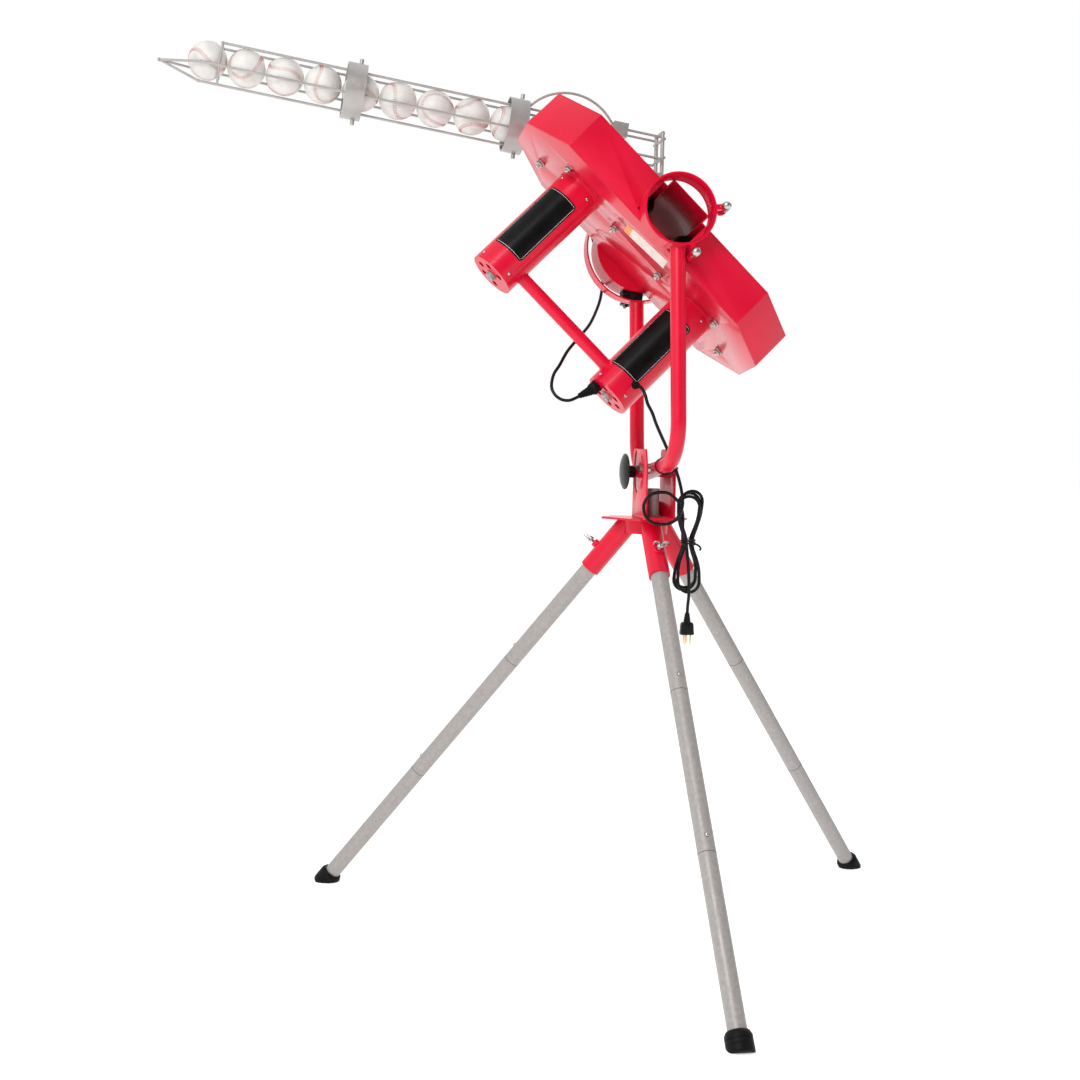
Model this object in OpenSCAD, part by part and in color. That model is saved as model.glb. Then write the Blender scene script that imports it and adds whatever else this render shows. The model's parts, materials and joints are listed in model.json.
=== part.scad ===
// Two-wheel baseball pitching machine on a three-leg stand, with a ball rack.
// Millimetres. Origin: floor point under the stand's centre. +Z up, balls leave towards -Y.

/* [Stand] */
// Distance of each foot from the stand's centre
foot_radius = 663; // [600:1:720]
// Height where the three leg axes would meet
apex_h = 809; // [780:1:840]
// Outer diameter of the leg tubes
leg_od = 31.8; // [30:0.1:34]
// Wall of the leg tubes
leg_wall = 1.6; // [1.2:0.1:2]
// Distance along a leg from the apex to the first tube joint
joint_a = 418; // [380:1:450]
// Distance along a leg from the apex to the second tube joint
joint_b = 724; // [690:1:760]
// Height of the top of the stand's plate
plate_top = 778; // [770:1:786]

/* [Tilt bracket] */
// Distance of the swivel post in front of the stand's centre
post_forward = 50; // [40:1:60]
// Height of the tilt pivot
pivot_z = 872; // [866:1:880]
// Distance of the tilt pivot in front of the stand's centre
pivot_forward = 68; // [64:1:72]
// Radius of the lock bolt's slot about the tilt pivot
slot_r = 56; // [52:1:58]

/* [Yoke] */
// Elevation of the ball's path
elevation = 7.5; // [0:0.5:15]
// Distance from the tilt pivot to the ball's path
axis_h = 445; // [430:1:460]
// Half the distance between the two arms
arm_half = 148; // [146:1:154]
// Outer diameter of the yoke's tube
arm_od = 28; // [26:0.5:30]

/* [Throwing head] */
// Turn of the head about the ball's path, where 90 stands the wheels one above the other
head_roll = 45; // [0:1:90]
// Distance between the two wheel axes
wheel_pitch = 306; // [300:1:316]
// Diameter of the throwing wheels
wheel_d = 244; // [230:1:246]
// Length of the housing
house_l = 610; // [600:1:640]
// Depth of the housing along the ball's path
house_w = 252; // [252:1:256]
// Outer diameter of the motor cases
motor_od = 89; // [84:0.5:92]
// Reach of the motor cases below the housing
motor_l = 228; // [210:1:240]

/* [Ball rack] */
// Slope of the ball rack
rack_slope = 8.2; // [5:0.1:12]
// Distance of the ball rack behind the stand's centre
rack_y = 217; // [212:1:230]
// Height of the rack's centre line above the stand's centre
rack_z = 1504; // [1498:1:1512]
// Number of balls in the rack
ball_count = 11; // [6:1:11]
// Diameter of a ball
ball_d = 73; // [72:0.5:73]

/* [Hidden] */
$fn = 48;

// ---- colours
paint = "#d0021f";
grey = "#8d8f8c";
black = "#1c1c1c";
chrome = "#c9ccd0";
rubber = "#26262a";

// ---- stand, derived
leg_r = leg_od / 2;
bore_r = leg_r - leg_wall;
leg_tilt = atan(foot_radius / apex_h);
leg_len = norm([foot_radius, apex_h]);
front_az = -90;
right_az = 30;
left_az = 150;
leg_azimuths = [front_az, right_az, left_az];
socket_r = 20;
socket_end = 172;
socket_start = 30;
leg_start = 62;
neck_len = 60;
neck_r = bore_r - 0.2;
button_up = 28;
button_r = 3.8;
screw_s = 128;
screw_r = 3;
plate_t = 4;
drum_r = 41;
drum_h = 26;
cap_r = 22.5;
cap_lip_r = 19.5;
cap_from = leg_len - 28;
cap_to = leg_len + 8;
leg_end = leg_len - 14;

// ---- bracket, derived
post_r = 11;
post_top = 835;
cheek_in = 25;
cheek_t = 3;
base_z = plate_top + 0.4;
base_t = 4;
cheek_top = 908;
cheek_back = 0;
cheek_front = -100;
bolt_r = 5;
fit = 0.05;

// ---- yoke, derived
arm_r = arm_od / 2;
arm_wall = 2;
bend_r = 72;
front_ring_r = 66.5;
front_ring_t = 3.5;
front_ring_y = [-170, -132];
rear_ring_r = 103;
rear_ring_t = 3;
rear_ring_y = [134, 162];
ring_bolt_r = 83;
ring_bolt_angles = [5, -72];
pad_angles = [-97, 25, 150];
pad_half = 20;

// ---- head, derived
sheet = 2;
house_y = -4;
house_mid_l = 218;
house_end_w = 48;
back_t = -55.5;
far_t = 25.5;
wheel_r = wheel_d / 2;
wheel_half = 23;
tyre_in = 92;
motor_r = motor_od / 2;
motor_top = back_t - sheet;
motor_end = motor_top - motor_l;
shaft_r = 6.3;
collar_r = front_ring_r - front_ring_t - 0.4;
guide_half = 43;
drum_out = 85;
brace_t = -250;
panel_bolts = [[193, -56], [243, 36], [60, -13]];

// ---- rack, derived
wire_r = 2.5;
wire_at = 41;
wire_angles = [54, 126, 198, 270, 342];
rack_right = 62;
bar_x = 61;
bar_r = 4;
bar_half = 24;
drop_x = -42;
hoop_x = -815;
loop_x = -850;
tip_x = -927;
band_x = [-558, -237];
band_r = 54;
band_half = 19;
ball_pitch = ball_d + 0.4;
last_ball_x = -104.7;
gate = [-62, 1435];

// ---- cords
cord_r = 3;
power_route = [
  [-50, -99, 1023], [-47, -108, 1021], [-44, -118, 1015], [-41, -125, 1005], [-37, -128, 990],
  [-28, -128, 974], [-18, -126, 951], [2, -120, 914], [19, -115, 882], [29, -115, 856],
  [35, -118, 830], [36, -122, 807], [29, -120, 786], [11, -120, 773], [-18, -122, 774],
  [-34, -122, 788], [-36, -120, 809], [-22, -117, 826], [4, -114, 830], [22, -112, 822],
  [37, -105, 806], [45, -95, 787], [48, -86, 767], [50, -80, 747]
];
hank_box = [[33, 81], [-106, -79], [642, 836]];
plug_at = [59, -96, 606];
jumper_route = [
  [-60, 291, 1390], [-60, 291, 1372], [-59, 284, 1345], [-57, 262, 1318], [-55, 230, 1296],
  [-54, 202, 1272], [-57, 178, 1240], [-67, 148, 1203], [-84, 110, 1172], [-106, 68, 1142],
  [-132, 34, 1116], [-159, 8, 1088], [-178, -13, 1060], [-192, -28, 1041], [-198, -41, 1019],
  [-193, -49, 1004], [-181, -54, 995], [-166, -56, 994], [-150, -55, 1001]
];

// ---- frames
module at_leg(azimuth) {
  // Local Z runs down the leg's axis from the apex, local -X points outwards and up
  rotate([0, 0, azimuth]) translate([0, 0, apex_h]) rotate([0, 180 - leg_tilt, 0]) children();
}

module in_yoke() {
  // Local origin on the tilt pivot, local Z up the arms, local +Y towards the back
  translate([0, -pivot_forward, pivot_z]) rotate([-elevation, 0, 0]) children();
}

module in_head() {
  // Local origin on the ball's path, local X along the housing, local Z away from the motors
  in_yoke() translate([0, 0, axis_h]) rotate([0, head_roll, 0]) children();
}

module in_rack() {
  // Local origin on the rack's centre line above the stand, local X down the slope
  translate([0, rack_y, rack_z]) rotate([0, rack_slope, 0]) children();
}

// ---- small helpers
module pipe(r, wall, from, to) {
  difference() {
    translate([0, 0, from]) cylinder(r = r, h = to - from);
    translate([0, 0, from - 1]) cylinder(r = r - wall, h = to - from + 2);
  }
}

module along_y(from, to, r) {
  translate([0, from, 0]) rotate([-90, 0, 0]) cylinder(r = r, h = to - from);
}

module along_x(from, to, r) {
  translate([from, 0, 0]) rotate([0, 90, 0]) cylinder(r = r, h = to - from);
}

module rod(p, q, r) {
  // Round bar from point p to point q
  v = q - p;
  len = norm(v);
  translate(p) rotate([0, acos(v[2] / len), atan2(v[1], v[0])]) cylinder(r = r, h = len, $fn = 24);
}

module hex(r, h) {
  cylinder(r = r, h = h, $fn = 6);
}

function smooth(p, t) =
  // Point on a smooth curve through the list p, with t counted in spans
  let (i = min(floor(t), len(p) - 2), u = t - i,
       a = p[max(i - 1, 0)], b = p[i], c = p[i + 1], d = p[min(i + 2, len(p) - 1)])
  0.5 * (2 * b + (c - a) * u + (2 * a - 5 * b + 4 * c - d) * u * u + (3 * b - a - 3 * c + d) * u * u * u);

function unit(v) = v / norm(v);

function side_of(tangent, old) = unit(old - (old * tangent) * tangent);

function frames(pts, i, old) =
  // Sideways directions carried along the route without twist
  let (a = pts[max(i - 1, 0)], b = pts[min(i + 1, len(pts) - 1)], s = side_of(unit(b - a), old))
  i == len(pts) - 1 ? [s] : concat([s], frames(pts, i + 1, s));

module cord_tube(route, r, rings, sides = 10) {
  pts = [for (k = [0 : rings - 1]) smooth(route, k * (len(route) - 1) / (rings - 1))];
  across = frames(pts, 0, [0.11, 0.97, 0.2]);
  shell = [for (k = [0 : rings - 1]) let (
    tangent = unit(pts[min(k + 1, rings - 1)] - pts[max(k - 1, 0)]), s = across[k],
    other = cross(tangent, s))
    for (j = [0 : sides - 1]) pts[k] + r * (cos(j * 360 / sides) * s + sin(j * 360 / sides) * other)];
  walls = [for (k = [0 : rings - 2]) for (j = [0 : sides - 1]) let (n = (j + 1) % sides)
    [k * sides + j, (k + 1) * sides + j, (k + 1) * sides + n, k * sides + n]];
  ends = [[for (j = [0 : sides - 1]) j], [for (j = [0 : sides - 1]) rings * sides - 1 - j]];
  polyhedron(points = shell, faces = concat(walls, ends));
}

// ---- stand
module tripod_plate() {
  lobe_r = 85;
  lobe_half = 22;
  translate([0, 0, plate_top - plate_t]) linear_extrude(plate_t) polygon([
    for (a = leg_azimuths) for (s = [-1, 1])
      [lobe_r * cos(a + s * lobe_half), lobe_r * sin(a + s * lobe_half)]]);
}

module screw_boss() {
  translate([-socket_r + 1.5, 0, screw_s]) rotate([0, -90, 0]) cylinder(r = 8, h = 8);
}

module screw_hole() {
  translate([-8, 0, screw_s]) rotate([0, -90, 0]) cylinder(r = screw_r + fit, h = 30);
}

module tripod_head() {
  color(paint) difference() {
    union() {
      tripod_plate();
      translate([0, 0, plate_top - plate_t - drum_h]) cylinder(r = drum_r, h = drum_h);
      intersection() {
        union() for (a = leg_azimuths) at_leg(a) {
          translate([0, 0, socket_start]) cylinder(r = socket_r, h = socket_end - socket_start);
          screw_boss();
        }
        translate([-200, -200, 600]) cube([400, 400, plate_top - 600 - 1]);
      }
    }
    for (a = leg_azimuths) at_leg(a) {
      translate([0, 0, leg_start - 1]) cylinder(r = leg_r + 0.2, h = 200);
      screw_hole();
    }
  }
}

module swivel_post() {
  ring_w = 3.5;
  color(grey) translate([0, -post_forward, 0]) difference() {
    union() {
      pipe(post_r, 2.5, plate_top, post_top);
      translate([0, 0, base_z + base_t + 0.3]) cylinder(r = post_r + ring_w, h = 2);
    }
    translate([0, 0, post_top - 9]) along_y(-20, 20, 3);
    translate([0, 0, plate_top - 1]) cylinder(r = post_r - 2.5, h = 80);
  }
}

module leg_tube(from, to, has_neck, has_hole) {
  // One leg tube: a reduced neck at its top, and a button hole near its bottom
  color(grey) difference() {
    union() {
      pipe(leg_r, leg_wall, from, to);
      if (has_neck) {
        pipe(neck_r, leg_wall, from - neck_len, from + 4);
        pipe(leg_r - 0.5, leg_r - neck_r + 1, from, from + 3);
      }
    }
    if (has_neck) button_bore(from - button_up);
    if (has_hole) button_bore(to - button_up);
  }
}

module button_bore(s) {
  translate([0, 0, s]) rotate([0, -90, 0]) cylinder(r = button_r + 0.25, h = 40);
}

module leg_upper(a) {
  at_leg(a) leg_tube(leg_start, joint_a, false, true);
}

module leg_middle(a) {
  at_leg(a) leg_tube(joint_a, joint_b, true, true);
}

module leg_lower(a) {
  at_leg(a) leg_tube(joint_b, leg_end, true, false);
}

module foot_cap(a) {
  // Rubber cap with a chamfered lip, worn flat where it stands on the ground
  intersection() {
    at_leg(a) difference() {
      union() {
        translate([0, 0, cap_from]) cylinder(r1 = cap_lip_r, r2 = cap_r, h = 6);
        translate([0, 0, cap_from + 6]) cylinder(r = cap_r, h = cap_to - cap_from - 6);
      }
      translate([0, 0, cap_from - 1]) cylinder(r = leg_r + 0.1, h = leg_end + 1 - cap_from);
    }
    rotate([0, 0, a]) translate([foot_radius - 120, -60, 0]) cube([240, 120, 160]);
  }
}

module foot_caps() {
  color(black) for (a = leg_azimuths) foot_cap(a);
}

module snap_button(a, joint_s) {
  // Spring button of a tube joint: a domed pin with a flange inside the neck
  flange_at = 9;
  color(chrome) at_leg(a) translate([0, 0, joint_s - button_up]) rotate([0, -90, 0]) {
    translate([0, 0, flange_at]) cylinder(r = 5.4, h = 1.4);
    translate([0, 0, flange_at + 1]) cylinder(r = button_r, h = leg_r - flange_at);
    translate([0, 0, leg_r - 1]) intersection() {
      sphere(r = button_r + 0.2);
      cylinder(r = button_r, h = 8);
    }
  }
}

module wing_screw(a) {
  head_at = socket_r + 10;
  color(chrome) at_leg(a) translate([0, 0, screw_s]) rotate([0, -90, 0]) {
    translate([0, 0, leg_r + 0.4]) cylinder(r = screw_r, h = head_at - leg_r + 8);
    translate([0, 0, head_at + 2]) cylinder(r = 6, h = 7);
    for (s = [-1, 1]) translate([0, s * 9, head_at + 11]) rotate([s * 25, 0, 0]) hull() {
      translate([-1.5, -5, -5]) cube([3, 10, 4]);
      translate([-1.2, s * 3 - 3, 5]) cube([2.4, 6, 1]);
    }
  }
}

// ---- tilt bracket
module slot_shape() {
  // Curved slot about the tilt pivot, as a flat shape with X towards the back and Y up
  slot_w = 11;
  low = -48;
  high = 30;
  difference() {
    intersection() {
      circle(r = slot_r + slot_w / 2);
      polygon([[0, 0], [120 * cos(low), 120 * sin(low)], [160, 0], [120 * cos(high), 120 * sin(high)]]);
    }
    circle(r = slot_r - slot_w / 2);
  }
  for (a = [low, high]) rotate(a) translate([slot_r, 0]) circle(r = slot_w / 2);
}

module cheek_shape(slotted) {
  lean = 12;
  bottom = base_z + 1;
  difference() {
    polygon([[cheek_front - 4, bottom], [cheek_back, bottom], [cheek_back, cheek_top - 6],
      [cheek_back - 6, cheek_top], [cheek_front + lean, cheek_top], [cheek_front, cheek_top - 30]]);
    translate([-pivot_forward, pivot_z]) circle(r = bolt_r + fit);
    if (slotted) translate([-pivot_forward, pivot_z]) slot_shape();
  }
}

module upright(x, t) {
  // Turns a flat shape drawn in the Y-Z plane into a plate from x to x + t
  translate([x, 0, 0]) rotate([90, 0, 90]) linear_extrude(t) children();
}

module tilt_bracket() {
  web_h = 30;
  half = cheek_in + cheek_t;
  color(paint) {
    difference() {
      translate([-half, cheek_front - 4, base_z]) cube([2 * half, cheek_back - cheek_front + 4, base_t]);
      translate([0, -post_forward, base_z - 1]) cylinder(r = post_r + fit, h = 10);
    }
    upright(-half, cheek_t) cheek_shape(true);
    upright(cheek_in, cheek_t) cheek_shape(false);
    translate([-cheek_in - 1, cheek_back - cheek_t, base_z + 1]) cube([2 * cheek_in + 2, cheek_t, web_h]);
  }
}

module pivot_bolt() {
  head_r = 9.5;
  outer = cheek_in + cheek_t;
  translate([0, -pivot_forward, pivot_z]) {
    color(chrome) {
      along_x(-outer - 1, outer + 12, bolt_r);
      translate([-outer - 6.4, 0, 0]) rotate([0, 90, 0]) hex(head_r, 6.4);
      translate([outer, 0, 0]) rotate([0, 90, 0]) hex(head_r, 8);
    }
    color(black) for (s = [-1, 1]) difference() {
      along_x(s > 0 ? arm_r + 0.4 : -cheek_in, s > 0 ? cheek_in : -arm_r - 0.4, 11);
      along_x(-40, 40, bolt_r + fit);
    }
  }
}

module tilt_knob() {
  knob_in = cheek_in + cheek_t + 0.3;
  in_yoke() translate([0, slot_r, 0]) {
    color(chrome) along_x(-knob_in - 6, 16, bolt_r);
    color(black) rotate([0, -90, 0]) rotate_extrude() polygon([[bolt_r, knob_in], [11.5, knob_in],
      [11.5, knob_in + 18], [33, knob_in + 17], [34, knob_in + 18], [34, knob_in + 19.5],
      [30, knob_in + 23], [20, knob_in + 27.5], [0, knob_in + 30], [0, knob_in + 6], [bolt_r, knob_in + 6]]);
  }
}

// ---- yoke
module yoke_bend(side) {
  // Quarter bend from the foot of the yoke into one arm
  translate([0, side * (arm_half - bend_r), bend_r]) rotate([90, 0, 90]) rotate([0, 0, side > 0 ? -90 : 180])
    rotate_extrude(angle = 90) translate([bend_r, 0]) difference() {
      circle(r = arm_r);
      circle(r = arm_r - arm_wall);
    }
}

module yoke_arm(side, ring_r) {
  difference() {
    translate([0, side * arm_half, 0]) pipe(arm_r, arm_wall, bend_r, axis_h - ring_r + 6);
    translate([0, 0, axis_h]) along_y(side * arm_half - 40, side * arm_half + 40, ring_r);
  }
}

module yoke_tube() {
  boss_end = cheek_in - 0.4;
  color(paint) in_yoke() {
    difference() {
      union() {
        translate([0, -arm_half + bend_r, 0]) rotate([-90, 0, 0])
          pipe(arm_r, arm_wall, 0, 2 * (arm_half - bend_r));
        for (s = [-1, 1]) yoke_bend(s);
        translate([0, slot_r, 0]) along_x(-boss_end, boss_end, 9);
      }
      along_x(-40, 40, bolt_r + fit);
      translate([0, slot_r, 0]) along_x(-40, 17, bolt_r + fit);
    }
    yoke_arm(-1, front_ring_r);
    yoke_arm(1, rear_ring_r);
  }
}

module ring_lug(angle, from, to) {
  // Ear that holds one of the ring's bolts
  rotate([0, -angle, 0]) difference() {
    union() {
      translate([ring_bolt_r, 0, 0]) along_y(from, to, 8.5);
      translate([front_ring_r - 2, from, -5]) cube([ring_bolt_r - front_ring_r, to - from, 10]);
    }
    translate([ring_bolt_r, 0, 0]) along_y(from - 1, to + 1, 4 + fit);
  }
}

module front_ring() {
  color(paint) in_yoke() translate([0, 0, axis_h]) {
    difference() {
      union() {
        along_y(front_ring_y[0], front_ring_y[1], front_ring_r);
        for (a = ring_bolt_angles) {
          ring_lug(a, front_ring_y[0], front_ring_y[0] + 9);
          ring_lug(a, front_ring_y[1] - 13, front_ring_y[1] - 6);
        }
      }
      along_y(front_ring_y[0] - 1, front_ring_y[1] + 1, front_ring_r - front_ring_t);
    }
  }
}

module ring_bolts() {
  color(chrome) in_yoke() translate([0, 0, axis_h]) for (a = ring_bolt_angles)
    rotate([0, -a, 0]) translate([ring_bolt_r, 0, 0]) {
      along_y(front_ring_y[0] - 6, front_ring_y[1] - 1, 4);
      translate([0, front_ring_y[0] - 6, 0]) sphere(r = 8.5);
      along_y(front_ring_y[0] - 6, front_ring_y[0], 8);
      translate([0, front_ring_y[1] - 6, 0]) rotate([-90, 0, 0]) hex(7.5, 5);
    }
}

module rear_ring() {
  color(paint) in_yoke() translate([0, 0, axis_h]) difference() {
    along_y(rear_ring_y[0], rear_ring_y[1], rear_ring_r);
    along_y(rear_ring_y[0] - 1, rear_ring_y[1] + 1, rear_ring_r - rear_ring_t);
  }
}

module guide_pads() {
  pad_in = drum_out + 0.5;
  ring_in = rear_ring_r - rear_ring_t;
  pad_y = [rear_ring_y[0], rear_ring_y[1]];
  mid = (pad_in + ring_in) / 2;
  color(black) in_yoke() translate([0, 0, axis_h]) for (i = [0 : 2]) rotate([0, -pad_angles[i], 0])
    difference() {
      intersection() {
        along_y(pad_y[0], pad_y[1], ring_in);
        translate([pad_in - 10, pad_y[0], -pad_half])
          cube([30, pad_y[1] - pad_y[0], 2 * pad_half]);
      }
      along_y(pad_y[0] - 1, pad_y[1] + 1, pad_in);
      if (i == 0) translate([mid, 0, 0]) along_y(pad_y[0] - 1, pad_y[1] + 1, 4 + fit);
    }
}

module roll_lock_screw() {
  mid = (drum_out + 0.5 + rear_ring_r - rear_ring_t) / 2;
  knob_y = 178;
  in_yoke() translate([0, 0, axis_h]) rotate([0, -pad_angles[0], 0]) translate([mid, 0, 0]) {
    color(chrome) {
      along_y(rear_ring_y[0] - 2, knob_y + 8, 4);
      translate([0, rear_ring_y[0] - 6.3, 0]) rotate([-90, 0, 0]) hex(7, 6);
    }
    color(black) {
      along_y(knob_y - 2, knob_y + 18, 9);
      for (a = [0 : 60 : 300]) rotate([0, a, 0]) translate([9, 0, 0]) along_y(knob_y + 2, knob_y + 18, 3.2);
    }
  }
}

// ---- throwing head
function octagon(inset) = let (
  l = house_l / 2 - inset, w = house_w / 2 - inset,
  m = house_mid_l - inset * 0.36, e = house_end_w - inset * 0.47)
  [[-l, -e], [-m, -w], [m, -w], [l, -e], [l, e], [m, w], [-m, w], [-l, e]];

module house_plate(from, to, inset) {
  translate([0, house_y, from]) linear_extrude(to - from) polygon(octagon(inset));
}

module motor_panel() {
  color(paint) in_head() difference() {
    house_plate(back_t - sheet, back_t, 0);
    for (s = [-1, 1]) {
      translate([s * wheel_pitch / 2, house_y, back_t - 5]) cylinder(r = 15, h = 10);
      for (b = panel_bolts) translate([s * b[0], b[1], back_t - 5]) cylinder(r = 4, h = 10);
    }
  }
}

module far_panel() {
  // Flat panel with a raised box over the balls' path
  front = house_y - house_w / 2;
  box_half = guide_half + 1;
  top = guide_half;
  color(paint) in_head() {
    difference() {
      union() {
        house_plate(far_t, far_t + sheet, 0);
        translate([-box_half - sheet, front, far_t])
          cube([2 * (box_half + sheet), house_w, top + sheet - far_t]);
      }
      translate([-box_half, front - 1, far_t - 1]) cube([2 * box_half, house_w + 2, top + 1 - far_t]);
    }
  }
}

module rim_strip() {
  // Strip around the housing, and the collar welded to it that turns inside the front ring
  opening = 54;
  front_collar();
  color(paint) in_head() difference() {
    house_plate(back_t, far_t, 0);
    translate([0, 0, 0]) house_plate(back_t - 1, far_t + 1, sheet);
    translate([-opening, house_y - house_w / 2 - 5, -guide_half])
      cube([2 * opening, 10, guide_half + far_t + 1]);
    translate([-opening, house_y + house_w / 2 - 5, -guide_half])
      cube([2 * opening, 10, guide_half + far_t + 1]);
  }
}

module housing_bolts() {
  color(chrome) in_head() for (s = [-1, 1]) for (b = panel_bolts)
    translate([s * b[0], b[1], back_t - sheet]) {
      translate([0, 0, -12]) cylinder(r = 3.9, h = 12 + sheet + 3);
      translate([0, 0, -6.5]) hex(7.5, 6.5);
      translate([0, 0, sheet]) hex(7.5, 5);
    }
}

module rear_drum() {
  y0 = house_y + house_w / 2;
  wall = 3;
  mouth = 44;
  cone = 2.5;
  color(paint) in_head() rotate([-90, 0, 0]) rotate_extrude() {
    polygon([[mouth, y0], [drum_out, y0], [drum_out, y0 + 53], [drum_out - wall, y0 + 53],
      [drum_out - wall, y0 + wall], [mouth, y0 + wall]]);
    polygon([[mouth, y0 + 1], [mouth + cone, y0 + 1], [drum_out - 1, y0 + 45],
      [drum_out - 1, y0 + 49], [mouth, y0 + 5]]);
  }
}

module front_collar() {
  // Thin collar that turns inside the front ring, let into the strip by one millimetre
  wall = 1.4;
  y0 = front_ring_y[0] + 2;
  front = house_y - house_w / 2;
  color(paint) in_head() difference() {
    along_y(y0, front + 1, collar_r);
    along_y(y0 - 1, front + 2, collar_r - wall);
    for (t = [far_t - 0.1, back_t - 49.9]) translate([-100, front, t]) cube([200, 5, 50]);
  }
}

module at_wheel(side) {
  in_head() translate([side * wheel_pitch / 2, house_y, 0]) children();
}

module tyre(side) {
  groove = 2;
  color(rubber) at_wheel(side) rotate_extrude($fn = 96) polygon([
    [tyre_in, -wheel_half + 2], [wheel_r - 12, -wheel_half], [wheel_r - 2, -wheel_half + 3],
    [wheel_r, -wheel_half + 8], [wheel_r - groove, 0], [wheel_r, wheel_half - 8],
    [wheel_r - 2, wheel_half - 3], [wheel_r - 12, wheel_half], [tyre_in, wheel_half - 2]]);
}

module wheel_hub(side) {
  color(chrome) at_wheel(side) difference() {
    rotate_extrude($fn = 96) polygon([
      [shaft_r + fit, -20], [22, -20], [22, -4], [84, -4], [88, -19], [tyre_in, -19],
      [tyre_in, 19], [88, 19], [84, 4], [22, 4], [22, 20], [shaft_r + fit, 20]]);
    for (a = [0 : 60 : 300]) rotate(a) translate([54, 0, -10]) cylinder(r = 14, h = 20);
  }
}

module rotor(side) {
  color(chrome) at_wheel(side) {
    translate([0, 0, motor_end + 26]) cylinder(r = shaft_r, h = 20 - motor_end - 26);
    translate([0, 0, -222]) cylinder(r = 27, h = 92);
    translate([0, 0, -240]) cylinder(r = 14, h = 14);
  }
}

module motor_case(side) {
  // Case tube with a bearing wall near each end
  wall_spots = [-80, -256];
  color(paint) at_wheel(side) {
    pipe(motor_r, 2.5, motor_end, motor_top);
    for (z = wall_spots) difference() {
      translate([0, 0, z]) cylinder(r = motor_r - 1, h = 8);
      translate([0, 0, z - 1]) cylinder(r = 17.5, h = 10);
    }
  }
}

module motor_stators() {
  color("#b5651d") for (s = [-1, 1]) at_wheel(s) difference() {
    translate([0, 0, -228]) cylinder(r = motor_r - 2.5, h = 104);
    translate([0, 0, -230]) cylinder(r = 28.5, h = 110);
  }
}

module motor_bearings() {
  color(chrome) for (s = [-1, 1]) at_wheel(s) for (z = [-80, -256]) difference() {
    translate([0, 0, z - 1]) cylinder(r = 17.5, h = 10);
    translate([0, 0, z - 2]) cylinder(r = shaft_r + fit, h = 12);
  }
}

module end_cap(side) {
  // Vented cap with a dial hole, and a small flange inside the case
  color(paint) at_wheel(side) difference() {
    union() {
      translate([0, 0, motor_end - 3]) cylinder(r = motor_r, h = 3);
      translate([0, 0, motor_end - 0.5]) cylinder(r = motor_r - 2.6, h = 8);
    }
    translate([0, 0, motor_end]) cylinder(r = motor_r - 5, h = 12);
    for (a = [60 : 60 : 300]) rotate(a + (side > 0 ? 180 : 0)) translate([27, 0, motor_end - 5])
      cylinder(r = 6.5, h = 10);
    translate([0, 0, motor_end - 5]) cylinder(r = 3 + fit, h = 10);
  }
}

module dial(side) {
  // Speed dial with a pointer rib
  color(grey) at_wheel(side) translate([0, 0, motor_end]) {
    translate([0, 0, -10]) cylinder(r = 3, h = 15);
    translate([0, 0, -10]) cylinder(r = 9, h = 6);
    translate([0, 0, -5]) cylinder(r = 11, h = 1.6);
    translate([-1, 0, -11]) cube([2, 8.5, 3]);
  }
}

module motor_brace() {
  half = wheel_pitch / 2;
  color(paint) in_head() translate([0, house_y, brace_t]) difference() {
    along_x(-half + 20, half - 20, 12);
    along_x(-half, half, 10);
    for (s = [-1, 1]) translate([s * half, 0, -100]) cylinder(r = motor_r, h = 200);
  }
}

// ---- ball rack and feeder
function on_wire(a, x) = [x, wire_at * cos(a), wire_at * sin(a)];

module rack_wires() {
  // Five long wires, the end loop where three of them meet, and a hoop across all five
  weld_r = wire_r + 0.8;
  tip = [tip_x, 0, -17];
  for (a = wire_angles) {
    x0 = a < 180 ? hoop_x : loop_x;
    x1 = a == 270 ? drop_x : a < 180 ? rack_right - 4 : rack_right;
    rod(on_wire(a, x0), on_wire(a, x1), wire_r);
    translate(on_wire(a, x0)) sphere(r = weld_r);
  }
  for (a = [198, 270, 342]) rod(on_wire(a, loop_x), tip, wire_r - 0.1);
  translate(tip) sphere(r = weld_r + 0.5);
  for (i = [0 : 4]) rod(on_wire(wire_angles[i], hoop_x), on_wire(wire_angles[(i + 1) % 5], hoop_x), 2.2);
}

module rack_band(x) {
  // Round strap around the wires, with a rib down to each wire and two screws
  translate([x - band_half, 0, 0]) rotate([0, 90, 0]) pipe(band_r, 3, 0, 2 * band_half);
  for (a = wire_angles) rotate([a, 0, 0]) translate([x - band_half + 2, wire_at, -1.5])
    cube([2 * band_half - 4, band_r - wire_at - 1, 3]);
  for (s = [-1, 1]) translate([x + 6, 0, s * (band_r - 1)]) rotate([s < 0 ? 180 : 0, 0, 0])
    cylinder(r = 4, h = 11);
}

module guide_wire() {
  // Bow of wire over the balls, from the second band to the clamp block
  bow_r = 106;
  half_angle = 56;
  mid_x = -133;
  top = 80;
  translate([mid_x, -24, top - bow_r]) rotate([90, 0, 0]) rotate([0, 0, 90 - half_angle])
    rotate_extrude(angle = 2 * half_angle, $fn = 96) translate([bow_r, 0]) circle(r = wire_r, $fn = 24);
}

module feeder_rack() {
  color(grey) {
    in_rack() {
      rack_wires();
      for (x = band_x) rack_band(x);
      guide_wire();
      translate([-47, -33, 16]) cube([30, 17, 28]);
    }
    for (y = [-bar_half, bar_half]) translate([bar_x, rack_y + y, 1300]) cylinder(r = bar_r, h = 240);
    translate([bar_x, rack_y, 1537]) along_y(-bar_half - 3, bar_half + 3, bar_r);
    for (z = [1523, 1486]) translate([bar_x, rack_y, z]) along_y(-40, 40, 3);
    translate([bar_x, rack_y, 1454]) along_y(-bar_half, bar_half, 3);
  }
}

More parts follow.
